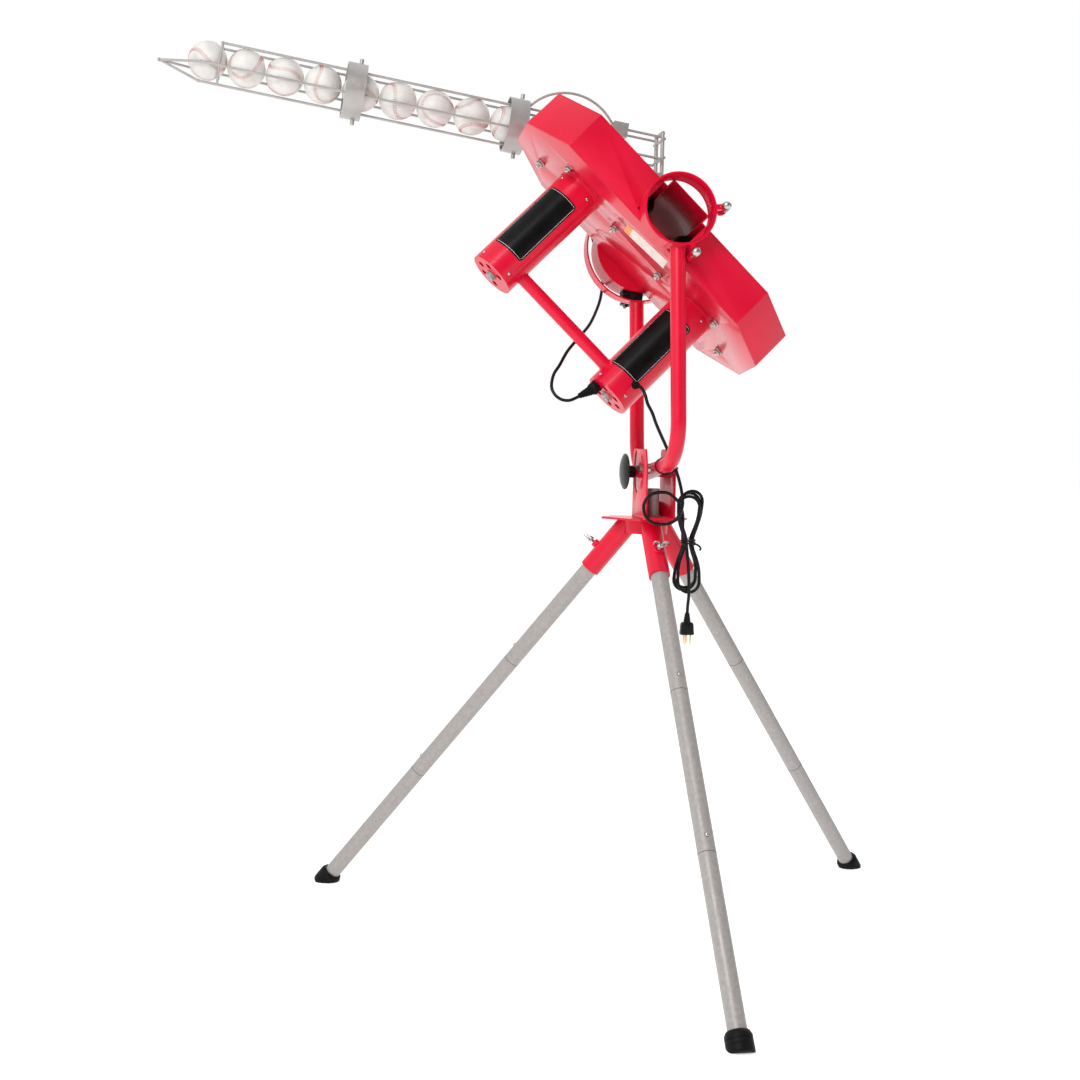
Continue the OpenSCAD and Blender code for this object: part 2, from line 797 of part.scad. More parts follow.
module drop_chute() {
  // Sheet chute that drops a ball from the rack's end into the rear drum
  x0 = -42;
  x1 = bar_x - bar_r;
  y0 = 176;
  y1 = 260;
  z0 = 1252;
  z1 = 1456;
  floor_back = 1325;
  left_top = 1372;
  color(grey) {
    for (side = [[x0, left_top], [x1 - sheet, z1]]) upright(side[0], sheet)
      polygon([[y0, z0], [y0 + 12, z0], [y1, floor_back - 8], [y1, side[1]], [y0, side[1]]]);
    translate([x0, y1 - sheet, floor_back - 8]) cube([x1 - x0, sheet, z1 - floor_back + 8]);
    translate([x0, y0, 1386]) cube([x1 - x0, sheet, z1 - 1386]);
    upright(x0, x1 - x0) polygon([[y0, z0], [y0 + 3, z0], [y1, floor_back - 3], [y1, floor_back]]);
    for (x = [-36, 22]) translate([x, 152, 1386]) cube([14, y0 - 151, 5]);
  }
}

module feeder_motor() {
  // Gear motor behind the rack, with the plate that hangs it on the chute
  color(black) translate([gate[0], 262, gate[1]]) {
    along_y(0, 22, 30);
    along_y(20, 58, 22);
    translate([-8, 22, -44]) cube([16, 14, 26]);
  }
  color(grey) difference() {
    translate([gate[0] - 34, 260, gate[1] - 30]) cube([60, sheet, 60]);
    translate([gate[0], 0, gate[1]]) along_y(250, 270, 4.3);
  }
}

module feeder_wheel() {
  // Two four-finger plates on one shaft, on either side of the rack's bottom wire
  finger = 55;
  color(chrome) translate([gate[0], 0, gate[1]]) {
    along_y(198, 261.7, 4);
    for (y = [204, 226]) {
      along_y(y, y + 4, 14);
      for (a = [0 : 90 : 270]) rotate([0, a, 0]) translate([-4, y, 0]) cube([8, 4, finger]);
    }
    along_y(204, 230, 9);
  }
}

module baseballs() {
  color("white") in_rack() for (k = [0 : ball_count - 1])
    translate([last_ball_x - k * ball_pitch, 0, 0]) sphere(r = ball_d / 2);
}

// ---- cords
module power_cord() {
  // Lead from the motor to the hank, and the short tail from the hank to the plug
  color(black) {
    cord_tube(power_route, cord_r, 72);
    translate([plug_at[0], plug_at[1], plug_at[2]]) cylinder(r = cord_r, h = hank_box[2][0] - plug_at[2]);
  }
}

module cord_hank() {
  // Outline of the folded and tied lead, with round ends
  x = hank_box[0];
  y = hank_box[1];
  z = hank_box[2];
  r = (x[1] - x[0]) / 2;
  color(black) translate([(x[0] + x[1]) / 2, y[1], 0]) rotate([90, 0, 0])
    linear_extrude(y[1] - y[0]) union() {
      translate([-r, z[0] + r]) square([2 * r, z[1] - z[0] - 2 * r]);
      for (v = [z[0] + r, z[1] - r]) translate([0, v]) circle(r = r);
    }
}

module power_plug() {
  // Three-prong plug hanging by its own lead
  body = 40;
  translate(plug_at) {
    color(black) {
      translate([0, 0, -18]) cylinder(r1 = 7, r2 = 4.5, h = 18);
      translate([-13, -9, -body]) cube([26, 18, 24]);
    }
    color("#c8a24a") {
      for (s = [-1, 1]) translate([s * 6.35 - 0.75, -5, -body - 17]) cube([1.5, 6.3, 18]);
      translate([0, 5, -body - 19]) cylinder(r = 2.4, h = 20);
    }
  }
}

module jumper_cord() {
  color(black) cord_tube(jumper_route, cord_r, 72);
}

module cord_fittings() {
  // Sleeve where the power lead leaves the motor, and the jumper lead's plug and sleeve
  sleeve = [172, -42, -247];
  color(black) {
    in_head() translate(sleeve) rotate([0, 0, -64]) rotate([0, 90, 0]) translate([0, 0, -6])
      cylinder(r1 = 7, r2 = 5, h = 14);
    in_head() translate([126, house_y, motor_end - 3]) rotate([180, 0, 0]) {
      cylinder(r = 12, h = 14);
      translate([0, 0, 11]) rotate([0, -18, 0]) cylinder(r1 = 10, r2 = 5, h = 30);
    }
  }
}

tripod_head();
swivel_post();
leg_upper(front_az);  // front_leg_upper
leg_middle(front_az);  // front_leg_middle
leg_lower(front_az);  // front_leg_lower
leg_upper(right_az);  // right_leg_upper
leg_middle(right_az);  // right_leg_middle
leg_lower(right_az);  // right_leg_lower
leg_upper(left_az);  // left_leg_upper
leg_middle(left_az);  // left_leg_middle
leg_lower(left_az);  // left_leg_lower
foot_caps();
snap_button(front_az, joint_a);  // front_button_upper
snap_button(front_az, joint_b);  // front_button_lower
snap_button(right_az, joint_a);  // right_button_upper
snap_button(right_az, joint_b);  // right_button_lower
snap_button(left_az, joint_a);  // left_button_upper
snap_button(left_az, joint_b);  // left_button_lower
wing_screw(front_az);  // front_wing_screw
wing_screw(right_az);  // right_wing_screw
wing_screw(left_az);  // left_wing_screw
tilt_bracket();
pivot_bolt();
tilt_knob();
yoke_tube();
front_ring();
rear_ring();
ring_bolts();
guide_pads();
roll_lock_screw();
motor_panel();
far_panel();
rim_strip();
housing_bolts();
rear_drum();
motor_brace();
tyre(-1);  // upper_tyre
wheel_hub(-1);  // upper_wheel_hub
rotor(-1);  // upper_rotor
tyre(1);  // lower_tyre
wheel_hub(1);  // lower_wheel_hub
rotor(1);  // lower_rotor
motor_case(-1);  // upper_motor_case
motor_case(1);  // lower_motor_case
motor_stators();
motor_bearings();
end_cap(-1);  // upper_end_cap
end_cap(1);  // lower_end_cap
dial(-1);  // upper_dial
dial(1);  // lower_dial
feeder_rack();
drop_chute();
feeder_motor();
feeder_wheel();
baseballs();
power_cord();
cord_hank();
power_plug();
jumper_cord();
cord_fittings();
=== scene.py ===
# Two-wheel baseball pitching machine: the looks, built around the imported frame.
import json
import math
import random

import bmesh
import bpy
from mathutils import Matrix, Vector


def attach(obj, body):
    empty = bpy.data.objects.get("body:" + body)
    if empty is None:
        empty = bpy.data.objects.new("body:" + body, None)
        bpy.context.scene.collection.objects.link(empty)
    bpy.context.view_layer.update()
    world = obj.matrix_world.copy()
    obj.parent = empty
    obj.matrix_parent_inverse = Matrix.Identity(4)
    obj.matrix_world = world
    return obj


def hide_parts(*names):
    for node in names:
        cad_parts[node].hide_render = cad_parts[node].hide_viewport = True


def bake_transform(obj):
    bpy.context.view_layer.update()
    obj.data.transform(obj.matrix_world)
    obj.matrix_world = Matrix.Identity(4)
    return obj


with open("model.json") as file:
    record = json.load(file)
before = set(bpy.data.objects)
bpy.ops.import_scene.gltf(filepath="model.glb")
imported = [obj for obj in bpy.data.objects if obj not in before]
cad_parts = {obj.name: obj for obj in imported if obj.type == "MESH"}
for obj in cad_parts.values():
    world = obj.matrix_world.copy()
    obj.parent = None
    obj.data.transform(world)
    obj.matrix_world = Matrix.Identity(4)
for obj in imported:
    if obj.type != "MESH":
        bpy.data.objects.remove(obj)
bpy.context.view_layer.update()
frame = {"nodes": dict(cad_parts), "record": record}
NODES = frame["nodes"]

# ---- sizes repeated from the CAD source, in metres
APEX_H = 0.809
FOOT_R = 0.663
LEG_R = 0.0159
LEG_LEN = math.hypot(APEX_H, FOOT_R)
LEG_TILT = math.atan2(FOOT_R, APEX_H)
LEG_AZ = {"front": -90, "right": 30, "left": 150}
JOINTS_AT = (0.418, 0.724)
PIVOT = Vector((0, -0.068, 0.872))
ELEVATION = math.radians(7.5)
AXIS_H = 0.445
HEAD_ROLL = math.radians(45)
WHEEL_AT = 0.153
HOUSE_Y = -0.004
MOTOR_R = 0.0445
MOTOR_END = -0.2855
PANEL_T = -0.0575
RACK_SLOPE = math.radians(8.2)
RACK_AT = Vector((0, 0.217, 1.504))
BALL_R = 0.0365
BALL_PITCH = 0.0734
LAST_BALL_X = -0.1047
BALLS = 11
CORD_D = 0.006

# ---- frames: each takes local coordinates to the row frame
YOKE = Matrix.Translation(PIVOT) @ Matrix.Rotation(-ELEVATION, 4, "X")
HEAD = YOKE @ Matrix.Translation((0, 0, AXIS_H)) @ Matrix.Rotation(HEAD_ROLL, 4, "Y")
RACK = Matrix.Translation(RACK_AT) @ Matrix.Rotation(RACK_SLOPE, 4, "Y")
WHEEL = {"upper": HEAD @ Matrix.Translation((-WHEEL_AT, HOUSE_Y, 0)),
         "lower": HEAD @ Matrix.Translation((WHEEL_AT, HOUSE_Y, 0))}


def leg_frame(which):
    """Local Z runs down the leg from the apex, local -X points outwards and up."""
    turn = Matrix.Rotation(math.radians(LEG_AZ[which]), 4, "Z")
    return turn @ Matrix.Translation((0, 0, APEX_H)) @ Matrix.Rotation(math.pi - LEG_TILT, 4, "Y")


# ---- camera
CAM_AT = Vector((-0.770, -2.938, 0.921))
CAM_HEADING = math.radians(10.9)
CAM_PITCH = 0.063
CAM_ROLL = 0.026
CAM_LENS = 53.2


def make_camera():
    data = bpy.data.cameras.new("camera")
    data.lens = CAM_LENS
    data.sensor_width = 36
    data.clip_end = 100
    cam = bpy.data.objects.new("camera", data)
    bpy.context.scene.collection.objects.link(cam)
    look = Matrix.Rotation(-CAM_HEADING, 4, "Z") @ Matrix.Rotation(math.pi / 2 - CAM_PITCH, 4, "X")
    cam.matrix_world = Matrix.Translation(CAM_AT) @ look @ Matrix.Rotation(CAM_ROLL, 4, "Z")
    bpy.context.scene.camera = cam


make_camera()


# ---- material helpers
def colour(c):
    return (c[0], c[1], c[2], 1)


class Surface:
    """A Principled material with short helpers for its procedural detail."""

    def __init__(self, name, **sockets):
        self.mat = bpy.data.materials.new(name)
        self.mat.use_nodes = True
        self.tree = self.mat.node_tree
        self.bsdf = self.tree.nodes["Principled BSDF"]
        self.where = self.add("ShaderNodeTexCoord").outputs["Object"]
        for key, value in sockets.items():
            self.bsdf.inputs[key.replace("_", " ")].default_value = value

    def add(self, kind):
        return self.tree.nodes.new(kind)

    def link(self, a, b):
        self.tree.links.new(a, b)

    def noise(self, scale, detail=3, rough=0.5):
        n = self.add("ShaderNodeTexNoise")
        n.inputs["Scale"].default_value = scale
        n.inputs["Detail"].default_value = detail
        n.inputs["Roughness"].default_value = rough
        self.link(self.where, n.inputs["Vector"])
        return n.outputs["Fac"]

    def cells(self, scale, smooth=0.6):
        n = self.add("ShaderNodeTexVoronoi")
        n.feature = "SMOOTH_F1"
        n.inputs["Scale"].default_value = scale
        n.inputs["Smoothness"].default_value = smooth
        self.link(self.where, n.inputs["Vector"])
        return n.outputs["Distance"]

    def ramp(self, fac, stops):
        r = self.add("ShaderNodeValToRGB")
        r.color_ramp.elements[0].position = stops[0][0]
        r.color_ramp.elements[0].color = colour(stops[0][1])
        r.color_ramp.elements[1].position = stops[-1][0]
        r.color_ramp.elements[1].color = colour(stops[-1][1])
        for at, c in stops[1:-1]:
            r.color_ramp.elements.new(at).color = colour(c)
        self.link(fac, r.inputs["Fac"])
        return r.outputs["Color"]

    def span(self, fac, low, high, a=0.0, b=1.0):
        m = self.add("ShaderNodeMapRange")
        m.inputs["From Min"].default_value = a
        m.inputs["From Max"].default_value = b
        m.inputs["To Min"].default_value = low
        m.inputs["To Max"].default_value = high
        self.link(fac, m.inputs["Value"])
        return m.outputs["Result"]

    def paint(self, fac, stops):
        self.link(self.ramp(fac, stops), self.bsdf.inputs["Base Color"])

    def rough(self, fac, low, high, a=0.3, b=0.7):
        self.link(self.span(fac, low, high, a, b), self.bsdf.inputs["Roughness"])

    def bump(self, *layers):
        """Each layer is (height, strength, distance in metres)."""
        last = None
        for height, strength, distance in layers:
            b = self.add("ShaderNodeBump")
            b.inputs["Strength"].default_value = strength
            b.inputs["Distance"].default_value = distance
            self.link(height, b.inputs["Height"])
            if last:
                self.link(last, b.inputs["Normal"])
            last = b.outputs["Normal"]
        self.link(last, self.bsdf.inputs["Normal"])


def red_paint(name, specular, coat):
    s = Surface(name, Coat_Weight=coat, Coat_Roughness=0.12, Specular_IOR_Level=specular)
    s.paint(s.noise(7, 4), [(0.3, (0.57, 0.001, 0.024)), (0.5, (0.63, 0.0015, 0.029)),
                            (0.72, (0.68, 0.003, 0.034))])
    s.rough(s.noise(14, 2), 0.26, 0.33)
    s.bump((s.noise(420, 2), 0.03, 0.0003), (s.noise(22, 2), 0.02, 0.002))
    return s.mat


def hammertone():
    s = Surface("grey_hammertone", Metallic=0.2, Specular_IOR_Level=0.3)
    s.paint(s.noise(160, 3), [(0.3, (0.315, 0.295, 0.283)), (0.7, (0.385, 0.36, 0.345))])
    s.rough(s.noise(40, 4), 0.36, 0.5)
    s.bump((s.cells(260), 0.12, 0.0004), (s.noise(700, 2), 0.08, 0.0002))
    return s.mat


def grey_wire():
    s = Surface("grey_wire", Metallic=0.5, Specular_IOR_Level=0.4)
    s.paint(s.noise(30, 3), [(0.3, (0.36, 0.345, 0.33)), (0.7, (0.44, 0.42, 0.405))])
    s.rough(s.noise(120, 3), 0.30, 0.42)
    s.bump((s.noise(500, 2), 0.10, 0.0003),)
    return s.mat


def black_rubber():
    s = Surface("black_rubber", Specular_IOR_Level=0.12)
    s.paint(s.noise(90, 4), [(0.3, (0.003, 0.003, 0.003)), (0.75, (0.008, 0.007, 0.007))])
    s.rough(s.noise(200, 4), 0.45, 0.62)
    s.bump((s.noise(900, 3), 0.25, 0.0003), (s.noise(60, 2), 0.1, 0.001))
    return s.mat


def tyre_rubber():
    s = Surface("tyre_rubber", Specular_IOR_Level=0.25)
    s.paint(s.noise(50, 5), [(0.3, (0.0025, 0.0025, 0.0026)), (0.7, (0.007, 0.007, 0.007))])
    s.rough(s.noise(150, 4), 0.28, 0.42)
    s.bump((s.noise(600, 3), 0.2, 0.0004),)
    return s.mat


def black_plastic():
    s = Surface("black_plastic", Specular_IOR_Level=0.2)
    s.paint(s.noise(120, 3), [(0.3, (0.004, 0.004, 0.004)), (0.7, (0.009, 0.009, 0.009))])
    s.rough(s.noise(260, 3), 0.24, 0.38)
    s.bump((s.noise(1100, 2), 0.15, 0.0002),)
    return s.mat


def bolt_steel():
    s = Surface("steel_bolts", Metallic=1.0)
    s.paint(s.noise(160, 3), [(0.3, (0.36, 0.35, 0.34)), (0.7, (0.58, 0.57, 0.55))])
    s.rough(s.noise(220, 4), 0.16, 0.32)
    s.bump((s.noise(500, 3), 0.14, 0.0004),)
    return s.mat


def dark_seam():
    s = Surface("dark_seam", Specular_IOR_Level=0.2)
    s.paint(s.noise(200, 2), [(0.3, (0.05, 0.049, 0.047)), (0.7, (0.08, 0.078, 0.075))])
    s.rough(s.noise(200, 2), 0.5, 0.6)
    return s.mat


def turned_steel():
    s = Surface("machined_steel", Metallic=1.0, Anisotropic=0.4)
    s.paint(s.noise(90, 3), [(0.3, (0.30, 0.30, 0.31)), (0.7, (0.46, 0.46, 0.47))])
    s.rough(s.noise(300, 4), 0.28, 0.44)
    s.bump((s.noise(900, 2), 0.15, 0.0002),)
    return s.mat


def cast_hub():
    s = Surface("hub_metal", Metallic=0.95)
    s.paint(s.noise(60, 4), [(0.3, (0.34, 0.34, 0.35)), (0.7, (0.48, 0.48, 0.48))])
    s.rough(s.noise(120, 4), 0.35, 0.55)
    s.bump((s.cells(500), 0.2, 0.0003),)
    return s.mat


def copper():
    s = Surface("copper_windings", Metallic=0.9)
    s.paint(s.noise(200, 2), [(0.3, (0.40, 0.15, 0.05)), (0.7, (0.62, 0.28, 0.10))])
    s.rough(s.noise(300, 2), 0.25, 0.4)
    s.bump((s.noise(1200, 1), 0.4, 0.0006),)
    return s.mat


def ball_leather():
    s = Surface("ball_leather", Specular_IOR_Level=0.3)
    s.paint(s.noise(45, 5),
            [(0.25, (0.58, 0.55, 0.52)), (0.5, (0.68, 0.66, 0.63)), (0.8, (0.76, 0.745, 0.72))])
    s.rough(s.noise(90, 4), 0.42, 0.58)
    s.bump((s.cells(1500, 0.3), 0.18, 0.0002), (s.noise(260, 4), 0.1, 0.0004))
    return s.mat


def ball_thread():
    s = Surface("ball_thread", Specular_IOR_Level=0.2)
    s.paint(s.noise(900, 2), [(0.3, (0.46, 0.10, 0.10)), (0.7, (0.60, 0.18, 0.17))])
    s.rough(s.noise(900, 2), 0.55, 0.75)
    s.bump((s.noise(3000, 2), 0.4, 0.0002),)
    return s.mat


def cord_jacket():
    s = Surface("cord_jacket", Specular_IOR_Level=0.18)
    s.paint(s.noise(150, 3), [(0.3, (0.003, 0.003, 0.003)), (0.7, (0.008, 0.008, 0.008))])
    s.rough(s.noise(300, 3), 0.28, 0.42)
    s.bump((s.noise(800, 2), 0.15, 0.0003),)
    return s.mat


def prong_brass():
    s = Surface("prong_brass", Metallic=1.0)
    s.paint(s.noise(200, 2), [(0.3, (0.70, 0.52, 0.26)), (0.7, (0.82, 0.66, 0.38))])
    s.rough(s.noise(300, 2), 0.18, 0.3)
    s.bump((s.noise(600, 2), 0.08, 0.0002),)
    return s.mat


def label_film():
    s = Surface("label_film", Specular_IOR_Level=0.12)
    s.paint(s.noise(30, 3), [(0.3, (0.002, 0.002, 0.002)), (0.7, (0.005, 0.005, 0.005))])
    s.rough(s.noise(80, 3), 0.25, 0.35)
    s.bump((s.noise(300, 2), 0.05, 0.0003),)
    return s.mat


def label_line():
    s = Surface("label_line", Coat_Weight=0.4)
    s.paint(s.noise(60, 2), [(0.3, (0.62, 0.62, 0.62)), (0.7, (0.78, 0.78, 0.78))])
    s.rough(s.noise(80, 2), 0.3, 0.4)
    return s.mat


def paper_sticker():
    s = Surface("paper_sticker", Coat_Weight=0.2)
    s.paint(s.noise(80, 4), [(0.3, (0.70, 0.62, 0.52)), (0.7, (0.84, 0.78, 0.70))])
    s.rough(s.noise(120, 3), 0.4, 0.55)
    s.bump((s.noise(500, 2), 0.1, 0.0002),)
    return s.mat


def amber_sticker():
    s = Surface("amber_sticker", Coat_Weight=0.2)
    s.paint(s.noise(80, 4), [(0.3, (0.70, 0.22, 0.03)), (0.7, (0.82, 0.34, 0.06))])
    s.rough(s.noise(120, 3), 0.4, 0.5)
    return s.mat


RED = red_paint("red_paint", 0.25, 0.15)
RED_GLOSS = red_paint("red_paint_gloss", 0.6, 0.6)
HAMMER = hammertone()
WIRE = grey_wire()
RUBBER = black_rubber()
TYRE = tyre_rubber()
PLASTIC = black_plastic()
BOLT = bolt_steel()
SEAM_DARK = dark_seam()
STEEL = turned_steel()
HUB = cast_hub()
COPPER = copper()
LEATHER = ball_leather()
THREAD = ball_thread()
JACKET = cord_jacket()
BRASS = prong_brass()
LABEL = label_film()
LABEL_LINE = label_line()
PAPER = paper_sticker()
AMBER = amber_sticker()

SLOT_MATERIAL = {
    "red_paint": RED, "grey_hammertone": HAMMER, "grey_wire": WIRE, "black_rubber": RUBBER,
    "tyre_rubber": TYRE, "black_plastic": PLASTIC, "steel_bolts": BOLT, "machined_steel": STEEL,
    "hub_metal": HUB, "copper_windings": COPPER, "ball_leather": LEATHER, "cord_jacket": JACKET,
    "plug_body": PLASTIC,
}
NODE_SLOT = {p["node"]: p["material_slot"] for p in frame["record"]["subparts"]}


def finish_cad_nodes():
    """Every CAD node takes its slot's procedural material."""
    for name, o in NODES.items():
        o.data.materials.clear()
        o.data.materials.append(SLOT_MATERIAL[NODE_SLOT[name]])


finish_cad_nodes()


# ---- mesh helpers
def add_mesh(name, verts, faces, mats, smooth=True, face_mats=None):
    me = bpy.data.meshes.new(name)
    me.from_pydata([tuple(v) for v in verts], [], faces)
    me.update()
    for m in mats if isinstance(mats, (list, tuple)) else [mats]:
        me.materials.append(m)
    if face_mats:
        me.polygons.foreach_set("material_index", face_mats)
    o = bpy.data.objects.new(name, me)
    bpy.context.scene.collection.objects.link(o)
    if smooth:
        me.polygons.foreach_set("use_smooth", [True] * len(me.polygons))
    return o


class Shape:
    """Collects vertices and faces of one piece, with a material index for each face."""

    def __init__(self):
        self.verts = []
        self.faces = []
        self.mats = []

    def add(self, verts, faces, mat=0, at=Matrix.Identity(4)):
        base = len(self.verts)
        self.verts += [at @ Vector(v) for v in verts]
        self.faces += [[base + i for i in f] for f in faces]
        self.mats += [mat] * len(faces)

    def lathe(self, profile, mat=0, at=Matrix.Identity(4), sides=48):
        """Turns (radius, height) points about local Z. The profile is closed where its ends meet the axis."""
        verts = []
        rows = []
        for r, z in profile:
            if r < 1e-7:
                rows.append([len(verts)])
                verts.append((0, 0, z))
            else:
                rows.append(list(range(len(verts), len(verts) + sides)))
                verts += [(r * math.cos(2 * math.pi * k / sides), r * math.sin(2 * math.pi * k / sides), z)
                          for k in range(sides)]
        faces = []
        for a, b in zip(rows, rows[1:]):
            for k in range(sides):
                n = (k + 1) % sides
                quad = [a[k % len(a)], a[n % len(a)], b[n % len(b)], b[k % len(b)]]
                flat = [v for i, v in enumerate(quad) if v != quad[i - 1]]
                if len(flat) > 2:
                    faces.append(flat)
        self.add(verts, faces, mat, at)

    def tube(self, path, radius, mat=0, sides=12, caps=True):
        """Sweeps a circle along points of the row frame. radius is a number or one for each point."""
        pts = [Vector(p) for p in path]
        radii = radius if isinstance(radius, (list, tuple)) else [radius] * len(pts)
        side = None
        verts = []
        for i, p in enumerate(pts):
            t = (pts[min(i + 1, len(pts) - 1)] - pts[max(i - 1, 0)]).normalized()
            if side is None:
                side = t.orthogonal().normalized()
            side = (side - t * side.dot(t)).normalized()
            other = t.cross(side)
            verts += [p + radii[i] * (math.cos(2 * math.pi * k / sides) * side
                                      + math.sin(2 * math.pi * k / sides) * other) for k in range(sides)]
        faces = [[i * sides + k, i * sides + (k + 1) % sides, (i + 1) * sides + (k + 1) % sides,
                  (i + 1) * sides + k]
                 for i in range(len(pts) - 1) for k in range(sides)]
        if caps:
            faces.append(list(range(sides))[::-1])
            faces.append([(len(pts) - 1) * sides + k for k in range(sides)])
        self.add(verts, faces, mat)

    def block(self, size, mat=0, at=Matrix.Identity(4), edge=0.0006):
        """A box with bevelled edges, centred on the local origin."""
        bm = bmesh.new()
        bmesh.ops.create_cube(bm, size=1)
        bmesh.ops.scale(bm, vec=size, verts=bm.verts)
        bmesh.ops.bevel(bm, geom=bm.edges[:], offset=edge, segments=2, affect="EDGES", profile=0.6)
        bm.verts.index_update()
        self.add([v.co.copy() for v in bm.verts], [[v.index for v in f.verts] for f in bm.faces], mat, at)
        bm.free()

    def hex_bolt(self, across, height, mat=0, at=Matrix.Identity(4)):
        """A chamfered hexagon head with its underside on the local origin, towards +Z."""
        r = across / math.sqrt(3)
        rows = [(r, 0, 6), (r, height * 0.78, 6), (r * 0.86, height, 6)]
        verts = []
        for rr, z, _ in rows:
            verts += [(rr * math.cos(math.pi / 3 * k), rr * math.sin(math.pi / 3 * k), z) for k in range(6)]
        faces = [[i * 6 + k, i * 6 + (k + 1) % 6, (i + 1) * 6 + (k + 1) % 6, (i + 1) * 6 + k]
                 for i in range(2) for k in range(6)]
        faces += [list(range(6))[::-1], [12 + k for k in range(6)]]
        self.add(verts, faces, mat, at)

    def make(self, name, mats, smooth_angle=35):
        o = add_mesh(name, self.verts, self.faces, mats, True, self.mats)
        bm = bmesh.new()
        bm.from_mesh(o.data)
        bmesh.ops.recalc_face_normals(bm, faces=bm.faces)
        for e in bm.edges:
            if len(e.link_faces) == 2 and e.calc_face_angle(0) > math.radians(smooth_angle):
                e.smooth = False
        bm.to_mesh(o.data)
        bm.free()
        return o


def arc(cx, cz, r, a0, a1, n=6):
    """Points of an arc for a lathe profile, with angles in degrees."""
    return [(cx + r * math.cos(math.radians(a0 + (a1 - a0) * i / n)),
             cz + r * math.sin(math.radians(a0 + (a1 - a0) * i / n))) for i in range(n + 1)]


def smooth_route(route, per_span):
    """A smooth curve through given points."""
    pts = [Vector(p) for p in route]
    out = []
    for i in range(len(pts) - 1):
        a, b, c, d = pts[max(i - 1, 0)], pts[i], pts[i + 1], pts[min(i + 2, len(pts) - 1)]
        for k in range(per_span):
            u = k / per_span
            out.append(0.5 * (2 * b + (c - a) * u + (2 * a - 5 * b + 4 * c - d) * u * u
                              + (3 * b - a - 3 * c + d) * u * u * u))
    out.append(pts[-1])
    return out


def place(o, body, slot, *nodes):
    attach(o, body)
    if nodes:
        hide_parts(*nodes)
    return o


# ---- cords
POWER_ROUTE = [
    (-0.050, -0.099, 1.023), (-0.047, -0.108, 1.021), (-0.044, -0.118, 1.015), (-0.041, -0.125, 1.005),
    (-0.037, -0.128, 0.990), (-0.028, -0.128, 0.974), (-0.018, -0.126, 0.951), (0.002, -0.120, 0.914),
    (0.019, -0.115, 0.882), (0.029, -0.115, 0.856), (0.035, -0.118, 0.830), (0.036, -0.122, 0.807),
    (0.029, -0.120, 0.786), (0.011, -0.120, 0.773), (-0.018, -0.122, 0.774), (-0.034, -0.122, 0.788),
    (-0.036, -0.120, 0.809), (-0.022, -0.117, 0.826), (0.004, -0.114, 0.830), (0.022, -0.112, 0.822),
    (0.037, -0.105, 0.806), (0.045, -0.095, 0.787), (0.048, -0.086, 0.767), (0.050, -0.080, 0.747)]
YOKE_TIE_AT = 8
JUMPER_ROUTE = [
    (-0.060, 0.291, 1.390), (-0.060, 0.291, 1.372), (-0.059, 0.284, 1.345), (-0.057, 0.262, 1.318),
    (-0.055, 0.230, 1.296), (-0.054, 0.202, 1.272), (-0.057, 0.178, 1.240), (-0.067, 0.148, 1.203),
    (-0.084, 0.110, 1.172), (-0.106, 0.068, 1.142), (-0.132, 0.034, 1.116), (-0.159, 0.008, 1.088),
    (-0.178, -0.013, 1.060), (-0.192, -0.028, 1.041), (-0.198, -0.041, 1.019), (-0.193, -0.049, 1.004),
    (-0.181, -0.054, 0.995), (-0.166, -0.056, 0.994), (-0.150, -0.055, 1.001)]
HANK_X = 0.057
HANK_BACK = -0.083
HANK_TOP = 0.836
HANK_BOTTOM = 0.642
HANK_WAIST = 0.738
HANK_TURNS = 3
FOLD_R = 0.0205
LAYER = 0.0064
PLUG_AT = Vector((0.059, -0.096, 0.606))
TAIL = [(0.0535, -0.1075, 0.705), (0.0565, -0.1085, 0.668), (0.0585, -0.104, 0.640), (0.059, -0.0975, 0.620)]


def racetrack(u, top, bottom):
    """Point of a turn at share u of the way round, from the waist down the left run, as (x, z)."""
    run = top - bottom
    fold = math.pi * FOLD_R
    total = 2 * run + 2 * fold
    s = ((1 - u) * total + (HANK_WAIST - bottom)) % total
    if s < run:
        return -FOLD_R, bottom + s
    if s < run + fold:
        a = math.pi - (s - run) / FOLD_R
        return FOLD_R * math.cos(a), top + FOLD_R * math.sin(a)
    if s < 2 * run + fold:
        return FOLD_R, top - (s - run - fold)
    a = -(s - 2 * run - fold) / FOLD_R
    return FOLD_R * math.cos(a), bottom + FOLD_R * math.sin(a)


def hank_turns():
    """Turns of the folded lead: wide at both folds, drawn in where the tie holds them."""
    pinch = 0.30
    reach = 0.032
    steps = 72
    lean = (0.02, 0.06, -0.03)
    top_drop = (0.004, 0.0, 0.010)
    bottom_lift = (0.008, 0.004, 0.0)
    pts = []
    for k in range(HANK_TURNS * steps + 1):
        turn = min(k // steps, HANK_TURNS - 1)
        top = HANK_TOP - CORD_D / 2 - FOLD_R - top_drop[turn]
        bottom = HANK_BOTTOM + CORD_D / 2 + FOLD_R + bottom_lift[turn]
        x, z = racetrack((k / steps) % 1.0, top, bottom)
        near = math.exp(-((z - HANK_WAIST) / reach) ** 2)
        x *= 1 - (1 - pinch) * near
        x += lean[turn] * (z - HANK_WAIST) * (1 - near)
        pts.append(Vector((HANK_X + x, HANK_BACK - LAYER * k / steps, z)))
    return pts


def tube_piece(name, path, radius=CORD_D / 2, mat=None, sides=14):
    s = Shape()
    s.tube(path, radius, 0, sides)
    return s.make(name, mat or JACKET, 60)


